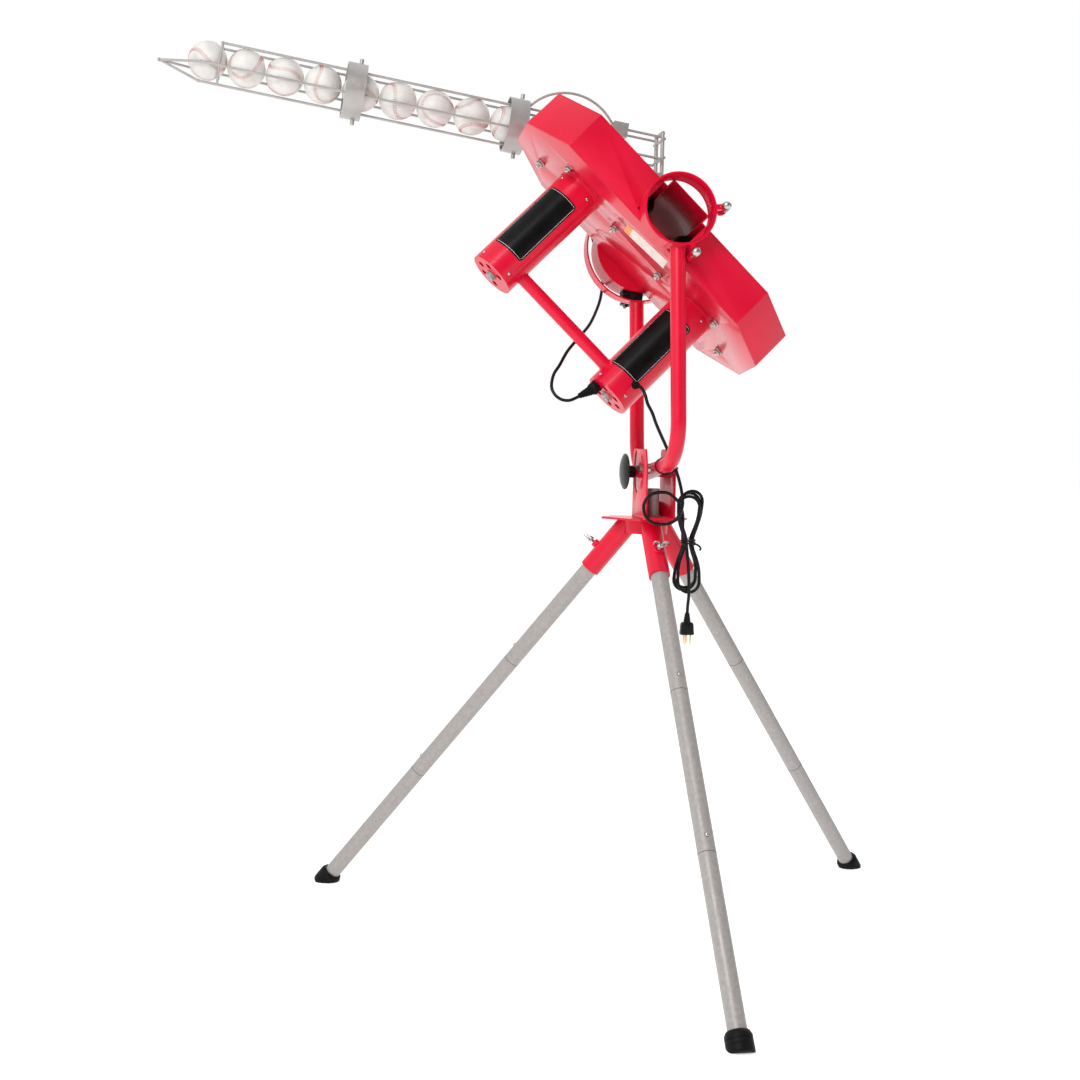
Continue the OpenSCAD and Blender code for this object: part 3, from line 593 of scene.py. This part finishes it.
def wrap(s, centre, across, up, half_a, half_b, turns, pitch, radius):
    """A tie wound round something: an elliptical helix about across x up."""
    axis = across.cross(up).normalized()
    n = 28
    pts = [centre + across * (half_a * math.cos(2 * math.pi * k / n))
           + up * (half_b * math.sin(2 * math.pi * k / n))
           + axis * (pitch * (k / n - turns / 2)) for k in range(int(n * turns) + 1)]
    s.tube(pts, radius, 0, 8)
    return pts


def make_power_lead():
    lead = smooth_route(POWER_ROUTE[:YOKE_TIE_AT + 1], 10)
    upper = tube_piece("power_lead_upper", lead)
    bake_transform(upper)
    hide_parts("power_cord")

    turns = hank_turns()
    route = [Vector(p) for p in POWER_ROUTE[YOKE_TIE_AT:]]
    drop = smooth_route(route + turns[:1], 10)[:-1]
    tail = smooth_route([turns[-1]] + [Vector(p) for p in TAIL] + [PLUG_AT], 10)[1:]
    path = drop + turns + tail
    lower = tube_piece("power_lead_lower", path)
    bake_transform(lower)
    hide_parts("cord_hank")
    plug = make_power_plug()

    ties = Shape()
    wrap(ties, Vector((HANK_X, HANK_BACK - LAYER * HANK_TURNS / 2, HANK_WAIST)), Vector((1, 0, 0)),
         Vector((0, 1, 0)),
         0.0125, 0.0165, 2, 0.0045, 0.0017)
    stub = [Vector((HANK_X + 0.010, -0.103, HANK_WAIST - 0.002)),
            Vector((HANK_X + 0.016, -0.107, HANK_WAIST - 0.005)),
            Vector((HANK_X + 0.021, -0.105, HANK_WAIST - 0.010)),
            Vector((HANK_X + 0.0215, -0.100, HANK_WAIST - 0.014))]
    ties.tube(smooth_route(stub, 5), 0.0018, 0, 8)
    place(ties.make("hank_tie", JACKET, 60), "bracket", "cord_jacket")

    hold = Shape()
    along = (YOKE.to_3x3() @ Vector((0, 1, 0))).normalized()
    spot = YOKE @ Vector((0, (lead[-1].y - PIVOT.y) / math.cos(ELEVATION), 0))
    side = Vector((1, 0, 0))
    up = along.cross(side).normalized()
    wrap(hold, spot + side * 0.0035, side, up, 0.0195, 0.0155, 1, 0.0, 0.0013)
    place(hold.make("yoke_cord_tie", JACKET, 60), "yoke", "cord_jacket")


def make_power_plug():
    """Moulded plug: ribbed relief, waisted body with a flange, two blades and a round earth pin."""
    s = Shape()
    down = Matrix.Translation(PLUG_AT) @ Matrix.Rotation(math.pi, 4, "X")
    relief = [(0.0032, -0.001)]
    for k in range(5):
        z = k * 0.0032
        r = 0.0042 + 0.0005 * k
        relief += [(r, z), (r + 0.0007, z + 0.0006), (r + 0.0007, z + 0.0019), (r, z + 0.0024)]
    relief += [(0.0068, 0.0162), (0.0085, 0.0182), (0, 0.0185)]
    s.lathe([(0, -0.001)] + relief, 0, down, 28)
    # the body narrows towards the lead, as rounded sections stacked down its length
    sections = [(0.0165, 0.0090, 0.0070), (0.0185, 0.0112, 0.0082), (0.0235, 0.0122, 0.0086),
                (0.0300, 0.0124, 0.0086),
                (0.0350, 0.0130, 0.0089), (0.0385, 0.0131, 0.0090), (0.0398, 0.0124, 0.0083)]
    n = 32
    verts = []
    for z, a, b in sections:
        for k in range(n):
            t = 2 * math.pi * k / n
            c, d = math.cos(t), math.sin(t)
            verts.append((a * math.copysign(abs(c) ** 0.45, c), b * math.copysign(abs(d) ** 0.45, d), z))
    faces = [[i * n + k, i * n + (k + 1) % n, (i + 1) * n + (k + 1) % n, (i + 1) * n + k]
             for i in range(len(sections) - 1) for k in range(n)]
    faces += [list(range(n))[::-1], [(len(sections) - 1) * n + k for k in range(n)]]
    s.add(verts, faces, 0, down)
    for side in (-1, 1):
        s.block((0.0015, 0.0063, 0.0175), 1, down @ Matrix.Translation((side * 0.00635, 0.0019, 0.0483)),
                0.0005)
    s.lathe([(0, 0.0395), (0.0024, 0.0395), (0.0024, 0.0570), (0.0016, 0.0588), (0, 0.0590)], 1,
            down @ Matrix.Translation((0, -0.0050, 0)), 20)
    plug = s.make("mains_plug", [PLASTIC, BRASS], 40)
    return place(plug, "bracket", "plug_body", "power_plug")


def make_jumper():
    path = smooth_route(JUMPER_ROUTE, 9)[::-1]
    jumper = tube_piece("jumper_lead", path)
    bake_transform(jumper)
    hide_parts("jumper_cord")


def ribbed_relief(s, at, r0, r1, length, ribs):
    profile = [(0, 0)]
    for k in range(ribs):
        r = r0 + (r1 - r0) * k / ribs
        z = length * k / ribs
        step = length / ribs
        profile += [(r, z), (r, z + step * 0.55), (r - 0.0012, z + step * 0.62),
                    (r - 0.0012, z + step * 0.95)]
    profile += [(r1, length * 0.98), (CORD_D / 2 + 0.0004, length), (0, length)]
    s.lathe(profile, 0, at, 28)


def make_fittings():
    """Sleeve where the mains lead leaves the lower motor, and the jumper's inline plug."""
    s = Shape()
    sleeve = (HEAD @ Matrix.Translation((0.172, -0.042, -0.247)) @ Matrix.Rotation(math.radians(-64), 4, "Z")
              @ Matrix.Rotation(math.pi / 2, 4, "Y"))
    s.lathe([(0, -0.005), (0.0085, -0.005), (0.0088, -0.001), (0.0085, 0.0015), (0.0072, 0.002),
             (0.0064, 0.006),
             (0.0060, 0.0075), (0.0060, 0.009), (0.0050, 0.0092), (0.0048, 0.013), (0.0036, 0.0136),
             (0, 0.0136)],
            0, sleeve, 28)
    plug = HEAD @ Matrix.Translation((0.126, HOUSE_Y, MOTOR_END - 0.003)) @ Matrix.Rotation(math.pi, 4, "X")
    s.lathe([(0, 0), (0.0115, 0), (0.012, 0.0006), (0.012, 0.0035), (0.0108, 0.0042), (0.0108, 0.0060),
             (0.0119, 0.0068), (0.0119, 0.0125), (0.0108, 0.0140), (0, 0.0142)], 0, plug, 36)
    bent = plug @ Matrix.Translation((0, 0, 0.011)) @ Matrix.Rotation(math.radians(-18), 4, "Y")
    ribbed_relief(s, bent, 0.0100, 0.0045, 0.0300, 6)
    place(s.make("motor_cord_fittings", RUBBER, 40), "head", "black_rubber", "cord_fittings")


make_power_lead()
make_jumper()
make_fittings()


# ---- baseballs
def seam_point(t):
    """Point of the two-lobed seam on a unit ball."""
    a, b = 0.75, 0.25
    c = 2 * math.sqrt(a * b)
    return Vector((a * math.cos(t) + b * math.cos(3 * t), a * math.sin(t) - b * math.sin(3 * t),
                   c * math.sin(2 * t)))


SEAM = [seam_point(2 * math.pi * k / 432) for k in range(432)]


def ball_template():
    """One ball: a sphere with a shallow welt along its seam, and a V of thread for each stitch."""
    bm = bmesh.new()
    bmesh.ops.create_icosphere(bm, subdivisions=5, radius=1)
    from mathutils import kdtree
    tree = kdtree.KDTree(len(SEAM))
    for i, p in enumerate(SEAM):
        tree.insert(p, i)
    tree.balance()
    for v in bm.verts:
        d = tree.find(v.co)[2]
        lift = 0.010 * math.exp(-((d - 0.045) / 0.028) ** 2) - 0.016 * math.exp(-(d / 0.016) ** 2)
        v.co = v.co.normalized() * (1 - 0.010 + lift)
    bm.verts.index_update()
    leather = ([v.co.copy() for v in bm.verts], [[v.index for v in f.verts] for f in bm.faces])
    bm.free()
    threads = Shape()
    stitches = 108
    for k in range(stitches):
        i = k * len(SEAM) // stitches
        p = SEAM[i]
        ahead = (SEAM[(i + 1) % len(SEAM)] - SEAM[i - 1]).normalized()
        side = p.cross(ahead).normalized()
        for s in (-1, 1):
            start = (p + side * s * 0.008 + ahead * 0.004).normalized() * 0.992
            mid = (p + side * s * 0.055 - ahead * 0.012).normalized() * 1.006
            end = (p + side * s * 0.098 - ahead * 0.026).normalized() * 0.990
            threads.tube(smooth_route([start, mid, end], 3),
                         [0.006, 0.009, 0.011, 0.012, 0.011, 0.009, 0.006], 0, 6)
    return leather, (threads.verts, threads.faces)


def make_baseballs():
    leather, threads = ball_template()
    rng = random.Random(11)
    s = Shape()
    for k in range(BALLS):
        turn = Matrix.Rotation(rng.uniform(0, 6.28), 4, "X") @ Matrix.Rotation(rng.uniform(0, 6.28), 4, "Y")
        turn = turn @ Matrix.Rotation(rng.uniform(0, 6.28), 4, "Z")
        at = RACK @ Matrix.Translation((LAST_BALL_X - k * BALL_PITCH, 0, 0)) @ turn @ Matrix.Scale(BALL_R, 4)
        s.add(leather[0], leather[1], 0, at)
        s.add(threads[0], threads[1], 1, at)
    balls = s.make("baseball_row", [LEATHER, THREAD], 180)
    place(balls, "balls", "ball_leather", "baseballs")


make_baseballs()


# ---- wheels
def make_tyres():
    r, half, inner = 0.122, 0.023, 0.092
    ribs = [(r - 0.0010, -0.0150), (r, -0.0140)]
    for z in (-0.010, -0.005, 0.0, 0.005, 0.010):
        ribs += [(r - 0.0006, z - 0.0012), (r - 0.0016, z - 0.0005), (r - 0.0016, z + 0.0005),
                 (r - 0.0006, z + 0.0012)]
    ribs += [(r, 0.0140), (r - 0.0010, 0.0150)]
    profile = ([(inner, -half + 0.002), (0.0965, -half + 0.0012), (0.0975, -half + 0.0022), (0.1040, -half)]
               + arc(0.1125, -half + 0.0085, 0.0085, -90, -18, 6) + ribs
               + arc(0.1125, half - 0.0085, 0.0085, 18, 90, 6)
               + [(0.1040, half), (0.0975, half - 0.0022), (0.0965, half - 0.0012), (inner, half - 0.002)])
    for which in ("upper", "lower"):
        s = Shape()
        s.lathe(profile + [profile[0]], 0, WHEEL[which], 120)
        place(s.make(f"{which}_throwing_tyre", TYRE, 28), f"{which}_wheel", "tyre_rubber", f"{which}_tyre")


make_tyres()


# ---- stand details
def make_foot_caps():
    """Rubber caps with a chamfered lip round the leg, two moulded grooves and a worn flat foot."""
    s = Shape()
    lip = LEG_LEN - 0.028
    end = LEG_LEN + 0.008
    for which in LEG_AZ:
        part = Shape()
        profile = [(LEG_R + 0.0002, lip + 0.006), (LEG_R + 0.0003, lip + 0.0012), (LEG_R + 0.0011, lip),
                   (0.0188, lip), (0.0196, lip + 0.0006), (0.0219, lip + 0.0054), (0.0225, lip + 0.0068)]
        for z in (lip + 0.0130, lip + 0.0215):
            profile += [(0.0225, z), (0.0217, z + 0.0006), (0.0217, z + 0.0014), (0.0225, z + 0.0020)]
        profile += [(0.0225, end - 0.0030), (0.0219, end - 0.0008), (0.0208, end), (0, end)]
        part.lathe(profile, 0, leg_frame(which), 64)
        o = part.make("cap_part", RUBBER, 50)
        bm = bmesh.new()
        bm.from_mesh(o.data)
        geom = bm.verts[:] + bm.edges[:] + bm.faces[:]
        cut = bmesh.ops.bisect_plane(bm, geom=geom, plane_co=(0, 0, 0.0002), plane_no=(0, 0, -1),
                                     clear_outer=True)
        rim = [e for e in cut["geom_cut"] if isinstance(e, bmesh.types.BMEdge)]
        bmesh.ops.contextual_create(bm, geom=rim)
        bm.verts.index_update()
        s.add([v.co.copy() for v in bm.verts], [[v.index for v in f.verts] for f in bm.faces])
        bm.free()
        bpy.data.objects.remove(o)
    place(s.make("rubber_foot_caps", RUBBER, 50), "tripod", "black_rubber", "foot_caps")


make_foot_caps()


def make_leg_seams():
    """The dark line where one leg tube slides into the next."""
    s = Shape()
    half = 0.0007
    for which in LEG_AZ:
        for along in JOINTS_AT:
            s.lathe([(LEG_R - 0.0004, along - half), (LEG_R + 0.0002, along - half * 0.6),
                     (LEG_R + 0.0002, along + half * 0.6), (LEG_R - 0.0004, along + half)], 0,
                     leg_frame(which), 48)
    place(s.make("leg_joint_seams", SEAM_DARK, 60), "tripod", "grey_hammertone")


make_leg_seams()


def make_wing_screws():
    """Cast wing screws: a knurled shank and two rounded ears."""
    for which in LEG_AZ:
        s = Shape()
        at = leg_frame(which) @ Matrix.Translation((0, 0, 0.128)) @ Matrix.Rotation(-math.pi / 2, 4, "Y")
        thread = [(0, LEG_R + 0.0005), (0.0026, LEG_R + 0.0005)]
        z = LEG_R + 0.0012
        while z < 0.031:
            thread += [(0.0030, z), (0.0026, z + 0.0004)]
            z += 0.0008
        s.lathe(thread + [(0.0028, 0.0320), (0.0055, 0.0322), (0.0060, 0.0330), (0.0060, 0.0378),
                          (0.0050, 0.0392),
                          (0.0030, 0.0400), (0, 0.0402)], 0, at, 24)
        for side in (-1, 1):
            n = 20
            verts = []
            for x in (-0.0014, 0.0014):
                for k in range(n):
                    t = 2 * math.pi * k / n
                    y = 0.0082 + 0.0064 * math.cos(t) + 0.0016 * math.sin(t)
                    z = 0.0412 + 0.0078 * math.sin(t)
                    verts.append((x, side * y, z))
            faces = [[k, (k + 1) % n, n + (k + 1) % n, n + k] for k in range(n)]
            faces += [list(range(n))[::-1], [n + k for k in range(n)]]
            bm = bmesh.new()
            vs = [bm.verts.new(v) for v in verts]
            for f in faces:
                bm.faces.new([vs[i] for i in f])
            rim = [e for e in bm.edges if len(e.link_faces) == 2 and max(len(f.verts)
                                                                         for f in e.link_faces) > 4]
            bmesh.ops.bevel(bm, geom=rim, offset=0.0008, segments=3, affect="EDGES", profile=0.5)
            bm.verts.index_update()
            s.add([v.co.copy() for v in bm.verts], [[v.index for v in f.verts] for f in bm.faces], 0, at)
            bm.free()
        place(s.make(f"{which}_wing", BOLT, 40), f"{which}_wing", "steel_bolts", f"{which}_wing_screw")


make_wing_screws()


# ---- tilt knob
def make_tilt_knob():
    at = YOKE @ Matrix.Translation((0, 0.056, 0)) @ Matrix.Rotation(-math.pi / 2, 4, "Y")
    inner = 0.0283
    s = Shape()
    s.lathe([(0, inner), (0.0112, inner), (0.0115, inner + 0.0006), (0.0115, inner + 0.0165),
             (0.0130, inner + 0.0178),
             (0.0240, inner + 0.0176), (0.0322, inner + 0.0170)] + arc(0.0322, inner + 0.0188, 0.0018, -70,
                                                                       50, 6)
            + [(0.0318, inner + 0.0208), (0.0280, inner + 0.0228), (0.0215, inner + 0.0246),
               (0.0150, inner + 0.0257),
               (0.0070, inner + 0.0264), (0, inner + 0.0266)], 0, at, 72)
    s.lathe([(0, -0.0155), (0.0044, -0.0155), (0.0050, -0.0148), (0.0050, inner + 0.0040),
             (0, inner + 0.0040)], 1, at, 28)
    place(s.make("tilt_lock_knob", [PLASTIC, BOLT], 35), "tilt_knob", "black_plastic", "tilt_knob")


make_tilt_knob()


# ---- labels and stickers
def curved_label(name, which, t0, t1, mid, half):
    """A blank black label with a thin pale border, wrapped on a motor case between t0 and t1."""
    corner = 0.007
    a, b = (t1 - t0) / 2, half * MOTOR_R
    across, along = 36, 12
    s = Shape()

    def spot(x, y, lift):
        turn = mid + y / MOTOR_R
        r = MOTOR_R + lift
        return r * math.cos(turn), r * math.sin(turn), (t0 + t1) / 2 + x

    def reach(y, inset):
        """Half the length of the rounded label at height y across it."""
        r = corner - inset
        over = max(abs(y) - (b - corner), 0)
        return a - corner + math.sqrt(max(r * r - over * over, 0))

    def sheet(low, high, x_at, lift, mat):
        """A curved patch between two heights; x_at gives its two ends at a height."""
        verts = []
        for j in range(across + 1):
            y = low + (high - low) * j / across
            x0, x1 = x_at(y)
            verts += [spot(x0 + (x1 - x0) * i / along, y, lift) for i in range(along + 1)]
        w = along + 1
        faces = [[j * w + i, j * w + i + 1, (j + 1) * w + i + 1, (j + 1) * w + i]
                 for j in range(across) for i in range(along)]
        s.add(verts, faces, mat, WHEEL[which])

    sheet(-b, b, lambda y: (-reach(y, 0), reach(y, 0)), 0.00025, 0)
    inset, line = 0.0030, 0.0006
    edge = b - inset
    for side in (-1, 1):
        sheet(-edge, edge, lambda y: sorted((side * reach(y, inset), side * (reach(y, inset) - line))),
              0.00035, 1)
        sheet(side * edge - line / 2, side * edge + line / 2,
              lambda y: (-(a - corner), a - corner), 0.00035, 1)
    return place(s.make(name, [LABEL, LABEL_LINE], 60), "head", "black_plastic")


LABEL_MID = math.radians(-108)
curved_label("upper_motor_label", "upper", -0.245, -0.096, LABEL_MID, math.radians(46))
curved_label("lower_motor_label", "lower", -0.245, -0.096, LABEL_MID, math.radians(46))


def flat_sticker(name, corners, mats, split=0.0):
    """A thin blank sticker on the motor panel, from corner points (L, y), with an end patch."""
    s = Shape()
    a, b, c, d = [Vector(p) for p in corners]
    height = PANEL_T - 0.0002

    def patch(f0, f1, mat):
        p = [a.lerp(b, f0), a.lerp(b, f1), d.lerp(c, f1), d.lerp(c, f0)]
        top = [(q.x, q.y, height - 0.0002) for q in p]
        base = [(q.x, q.y, PANEL_T) for q in p]
        faces = [[3, 2, 1, 0]] + [[k, (k + 1) % 4, 4 + (k + 1) % 4, 4 + k] for k in range(4)]
        s.add(top + base, faces, mat, HEAD)

    if split:
        patch(0, split, 1)
    patch(split, 1, 0)
    return place(s.make(name, mats, 30), "head", "black_plastic")


flat_sticker("panel_sticker", [(-0.047, -0.076), (0.052, -0.093), (0.056, -0.053), (-0.043, -0.037)],
             [PAPER, AMBER], 0.14)


# ---- small screws and rivets
def make_small_screws():
    """Pan-head screws around the motor cases and caps."""
    s = Shape()
    for which in ("upper", "lower"):
        for z in (MOTOR_END + 0.011, PANEL_T - 0.012):
            for a in range(-150, 210, 90):
                turn = Matrix.Rotation(math.radians(a), 4, "Z")
                at = WHEEL[which] @ turn @ Matrix.Translation((MOTOR_R - 0.0004, 0,
                                                               z)) @ Matrix.Rotation(math.pi / 2, 4, "Y")
                s.lathe([(0, 0), (0.0030, 0), (0.0029, 0.0008), (0.0022, 0.0015), (0.0012, 0.0018),
                         (0, 0.0018)], 0, at, 16)
    place(s.make("case_screws", BOLT, 40), "head", "steel_bolts")


make_small_screws()


# ---- pressed and welded metal
def bevelled_copy(node, body, width, paint):
    """The node's own shape with its sharp edges rounded, as bent or ground sheet has."""
    src = NODES[node]
    bm = bmesh.new()
    bm.from_mesh(src.data)
    bm.transform(src.matrix_world)
    bmesh.ops.remove_doubles(bm, verts=bm.verts, dist=1e-5)
    bmesh.ops.dissolve_limit(bm, angle_limit=math.radians(1), verts=bm.verts, edges=bm.edges)
    sharp = [e for e in bm.edges if len(e.link_faces) == 2 and e.calc_face_angle(0) > math.radians(28)]
    bmesh.ops.bevel(bm, geom=sharp, offset=width, segments=2, affect="EDGES", profile=0.5, clamp_overlap=True)
    bm.verts.index_update()
    s = Shape()
    s.add([v.co.copy() for v in bm.verts], [[v.index for v in f.verts] for f in bm.faces])
    bm.free()
    place(s.make(f"{node}_rounded", paint, 32), body, "red_paint", node)


bevelled_copy("motor_panel", "head", 0.0008, RED_GLOSS)
bevelled_copy("far_panel", "head", 0.0008, RED)
bevelled_copy("rim_strip", "head", 0.0008, RED)
bevelled_copy("tilt_bracket", "bracket", 0.0007, RED)


def bead(s, points, closed=False):
    """A rippled weld bead along points of the row frame."""
    pts = [Vector(q) for q in points]
    if closed:
        pts += pts[:2]
    s.tube(pts, [0.0015 * (1 + 0.16 * math.sin(1.9 * k)) for k in range(len(pts))], 0, 8, not closed)


def round_joint(radius, other, count=40):
    """Local points where a tube of the first radius, along Z, meets one of the other radius, along Y."""
    turns = [2 * math.pi * k / count for k in range(count)]
    return [Vector((radius * math.cos(t), radius * math.sin(t),
                    -math.sqrt(other ** 2 - (radius * math.cos(t)) ** 2)))
            for t in turns]


def make_weld_beads():
    head = Shape()
    for side in (-1, 1):
        pts = []
        for q in round_joint(0.012, MOTOR_R):
            pts.append(HEAD @ Vector((side * (WHEEL_AT + q.z), HOUSE_Y + q.x, -0.250 + q.y)))
        bead(head, pts, True)
        rim = [2 * math.pi * k / 90 for k in range(90)]
        bead(head, [HEAD @ Vector((side * WHEEL_AT + (MOTOR_R + 0.0004) * math.cos(t),
                                   HOUSE_Y + (MOTOR_R + 0.0004) * math.sin(t),
                                   PANEL_T - 0.0004)) for t in rim], True)
    place(head.make("head_weld_beads", RED, 60), "head", "red_paint")
    yoke = Shape()
    for arm_y, ring_r in ((-0.148, 0.0665), (0.148, 0.103)):
        bead(yoke, [YOKE @ Vector((q.x, arm_y + q.y * 0.9, AXIS_H + q.z)) for q in round_joint(0.0142,
                                                                                               ring_r)], True)
    place(yoke.make("yoke_weld_beads", RED, 60), "yoke", "red_paint")
    bracket = Shape()
    for x in (-0.0283, 0.0283):
        bead(bracket, [Vector((x * 0.985, -0.100 + 0.0025 * k, 0.7826)) for k in range(39)])
    place(bracket.make("bracket_weld_beads", RED, 60), "bracket", "red_paint")


make_weld_beads()


def make_panel_bolts():
    """Studs through the housing: washer, chamfered nut and thread outside, a hexagon head inside."""
    s = Shape()
    for side in (-1, 1):
        for x, y in ((0.193, -0.056), (0.243, 0.036), (0.060, -0.013)):
            out = HEAD @ Matrix.Translation((side * x, y, PANEL_T)) @ Matrix.Rotation(math.pi, 4, "X")
            s.lathe([(0.0042, 0), (0.0088, 0), (0.0090, 0.0003), (0.0090, 0.0010), (0.0086, 0.0013),
                     (0.0042, 0.0013)],
                    0, out, 32)
            s.hex_bolt(0.0130, 0.0055, 0, out @ Matrix.Translation((0, 0, 0.0013)))
            thread = [(0, -0.0045)]
            thread += [(0.0039 - 0.0004 * (k % 2), -0.0045 + 0.0006 * k) for k in range(26)]
            s.lathe(thread + [(0.0032, 0.0116), (0, 0.0118)], 0, out, 20)
            s.hex_bolt(0.0130, 0.0048, 0, HEAD @ Matrix.Translation((side * x, y, PANEL_T + 0.0021)))
    place(s.make("panel_studs", BOLT, 35), "head", "steel_bolts", "housing_bolts")


make_panel_bolts()


# ---- stage
def make_stage():
    floor_size = 60
    me = bpy.data.meshes.new("floor")
    h = floor_size / 2
    me.from_pydata([(-h, -h, 0), (h, -h, 0), (h, h, 0), (-h, h, 0)], [], [[0, 1, 2, 3]])
    floor = bpy.data.objects.new("floor", me)
    bpy.context.scene.collection.objects.link(floor)
    s = Surface("floor_white", Roughness=0.7, Specular_IOR_Level=0.1, Emission_Color=(1, 1, 1, 1),
                Emission_Strength=0.42)
    s.paint(s.noise(0.6, 2), [(0.3, (0.86, 0.86, 0.86)), (0.7, (0.88, 0.88, 0.88))])
    me.materials.append(s.mat)
    world = bpy.data.worlds.new("world")
    world.use_nodes = True
    studio = world.node_tree
    back = studio.nodes["Background"]
    back.inputs["Color"].default_value = (1, 1, 1, 1)
    where = studio.nodes.new("ShaderNodeTexCoord")
    turned = studio.nodes.new("ShaderNodeVectorMath")
    turned.operation = "DOT_PRODUCT"
    turned.inputs[1].default_value = (-0.62, 0.78, 0.08)
    shade = studio.nodes.new("ShaderNodeMapRange")
    shade.inputs["From Min"].default_value = -0.75
    shade.inputs["From Max"].default_value = 0.10
    shade.inputs["To Min"].default_value = 0.22
    shade.inputs["To Max"].default_value = 1.0
    studio.links.new(where.outputs["Generated"], turned.inputs[0])
    studio.links.new(turned.outputs["Value"], shade.inputs["Value"])
    studio.links.new(shade.outputs["Result"], back.inputs["Strength"])
    bpy.context.scene.world = world


def area_light(name, at, target, size, power):
    data = bpy.data.lights.new(name, "AREA")
    data.shape = "RECTANGLE"
    data.size = size[0]
    data.size_y = size[1]
    data.energy = power
    o = bpy.data.objects.new(name, data)
    bpy.context.scene.collection.objects.link(o)
    o.location = at
    o.rotation_euler = (Vector(target) - Vector(at)).to_track_quat("-Z", "Y").to_euler()


make_stage()
area_light("key", (-1.8, -2.6, 3.2), (0, 0, 1.0), (1.6, 1.6), 75)
area_light("fill", (2.8, -2.2, 1.6), (0, 0, 1.0), (1.8, 2.2), 6)
area_light("rim", (1.2, 2.8, 2.8), (0, 0, 1.1), (2.0, 1.2), 30)
bpy.context.scene.view_settings.view_transform = "Standard"
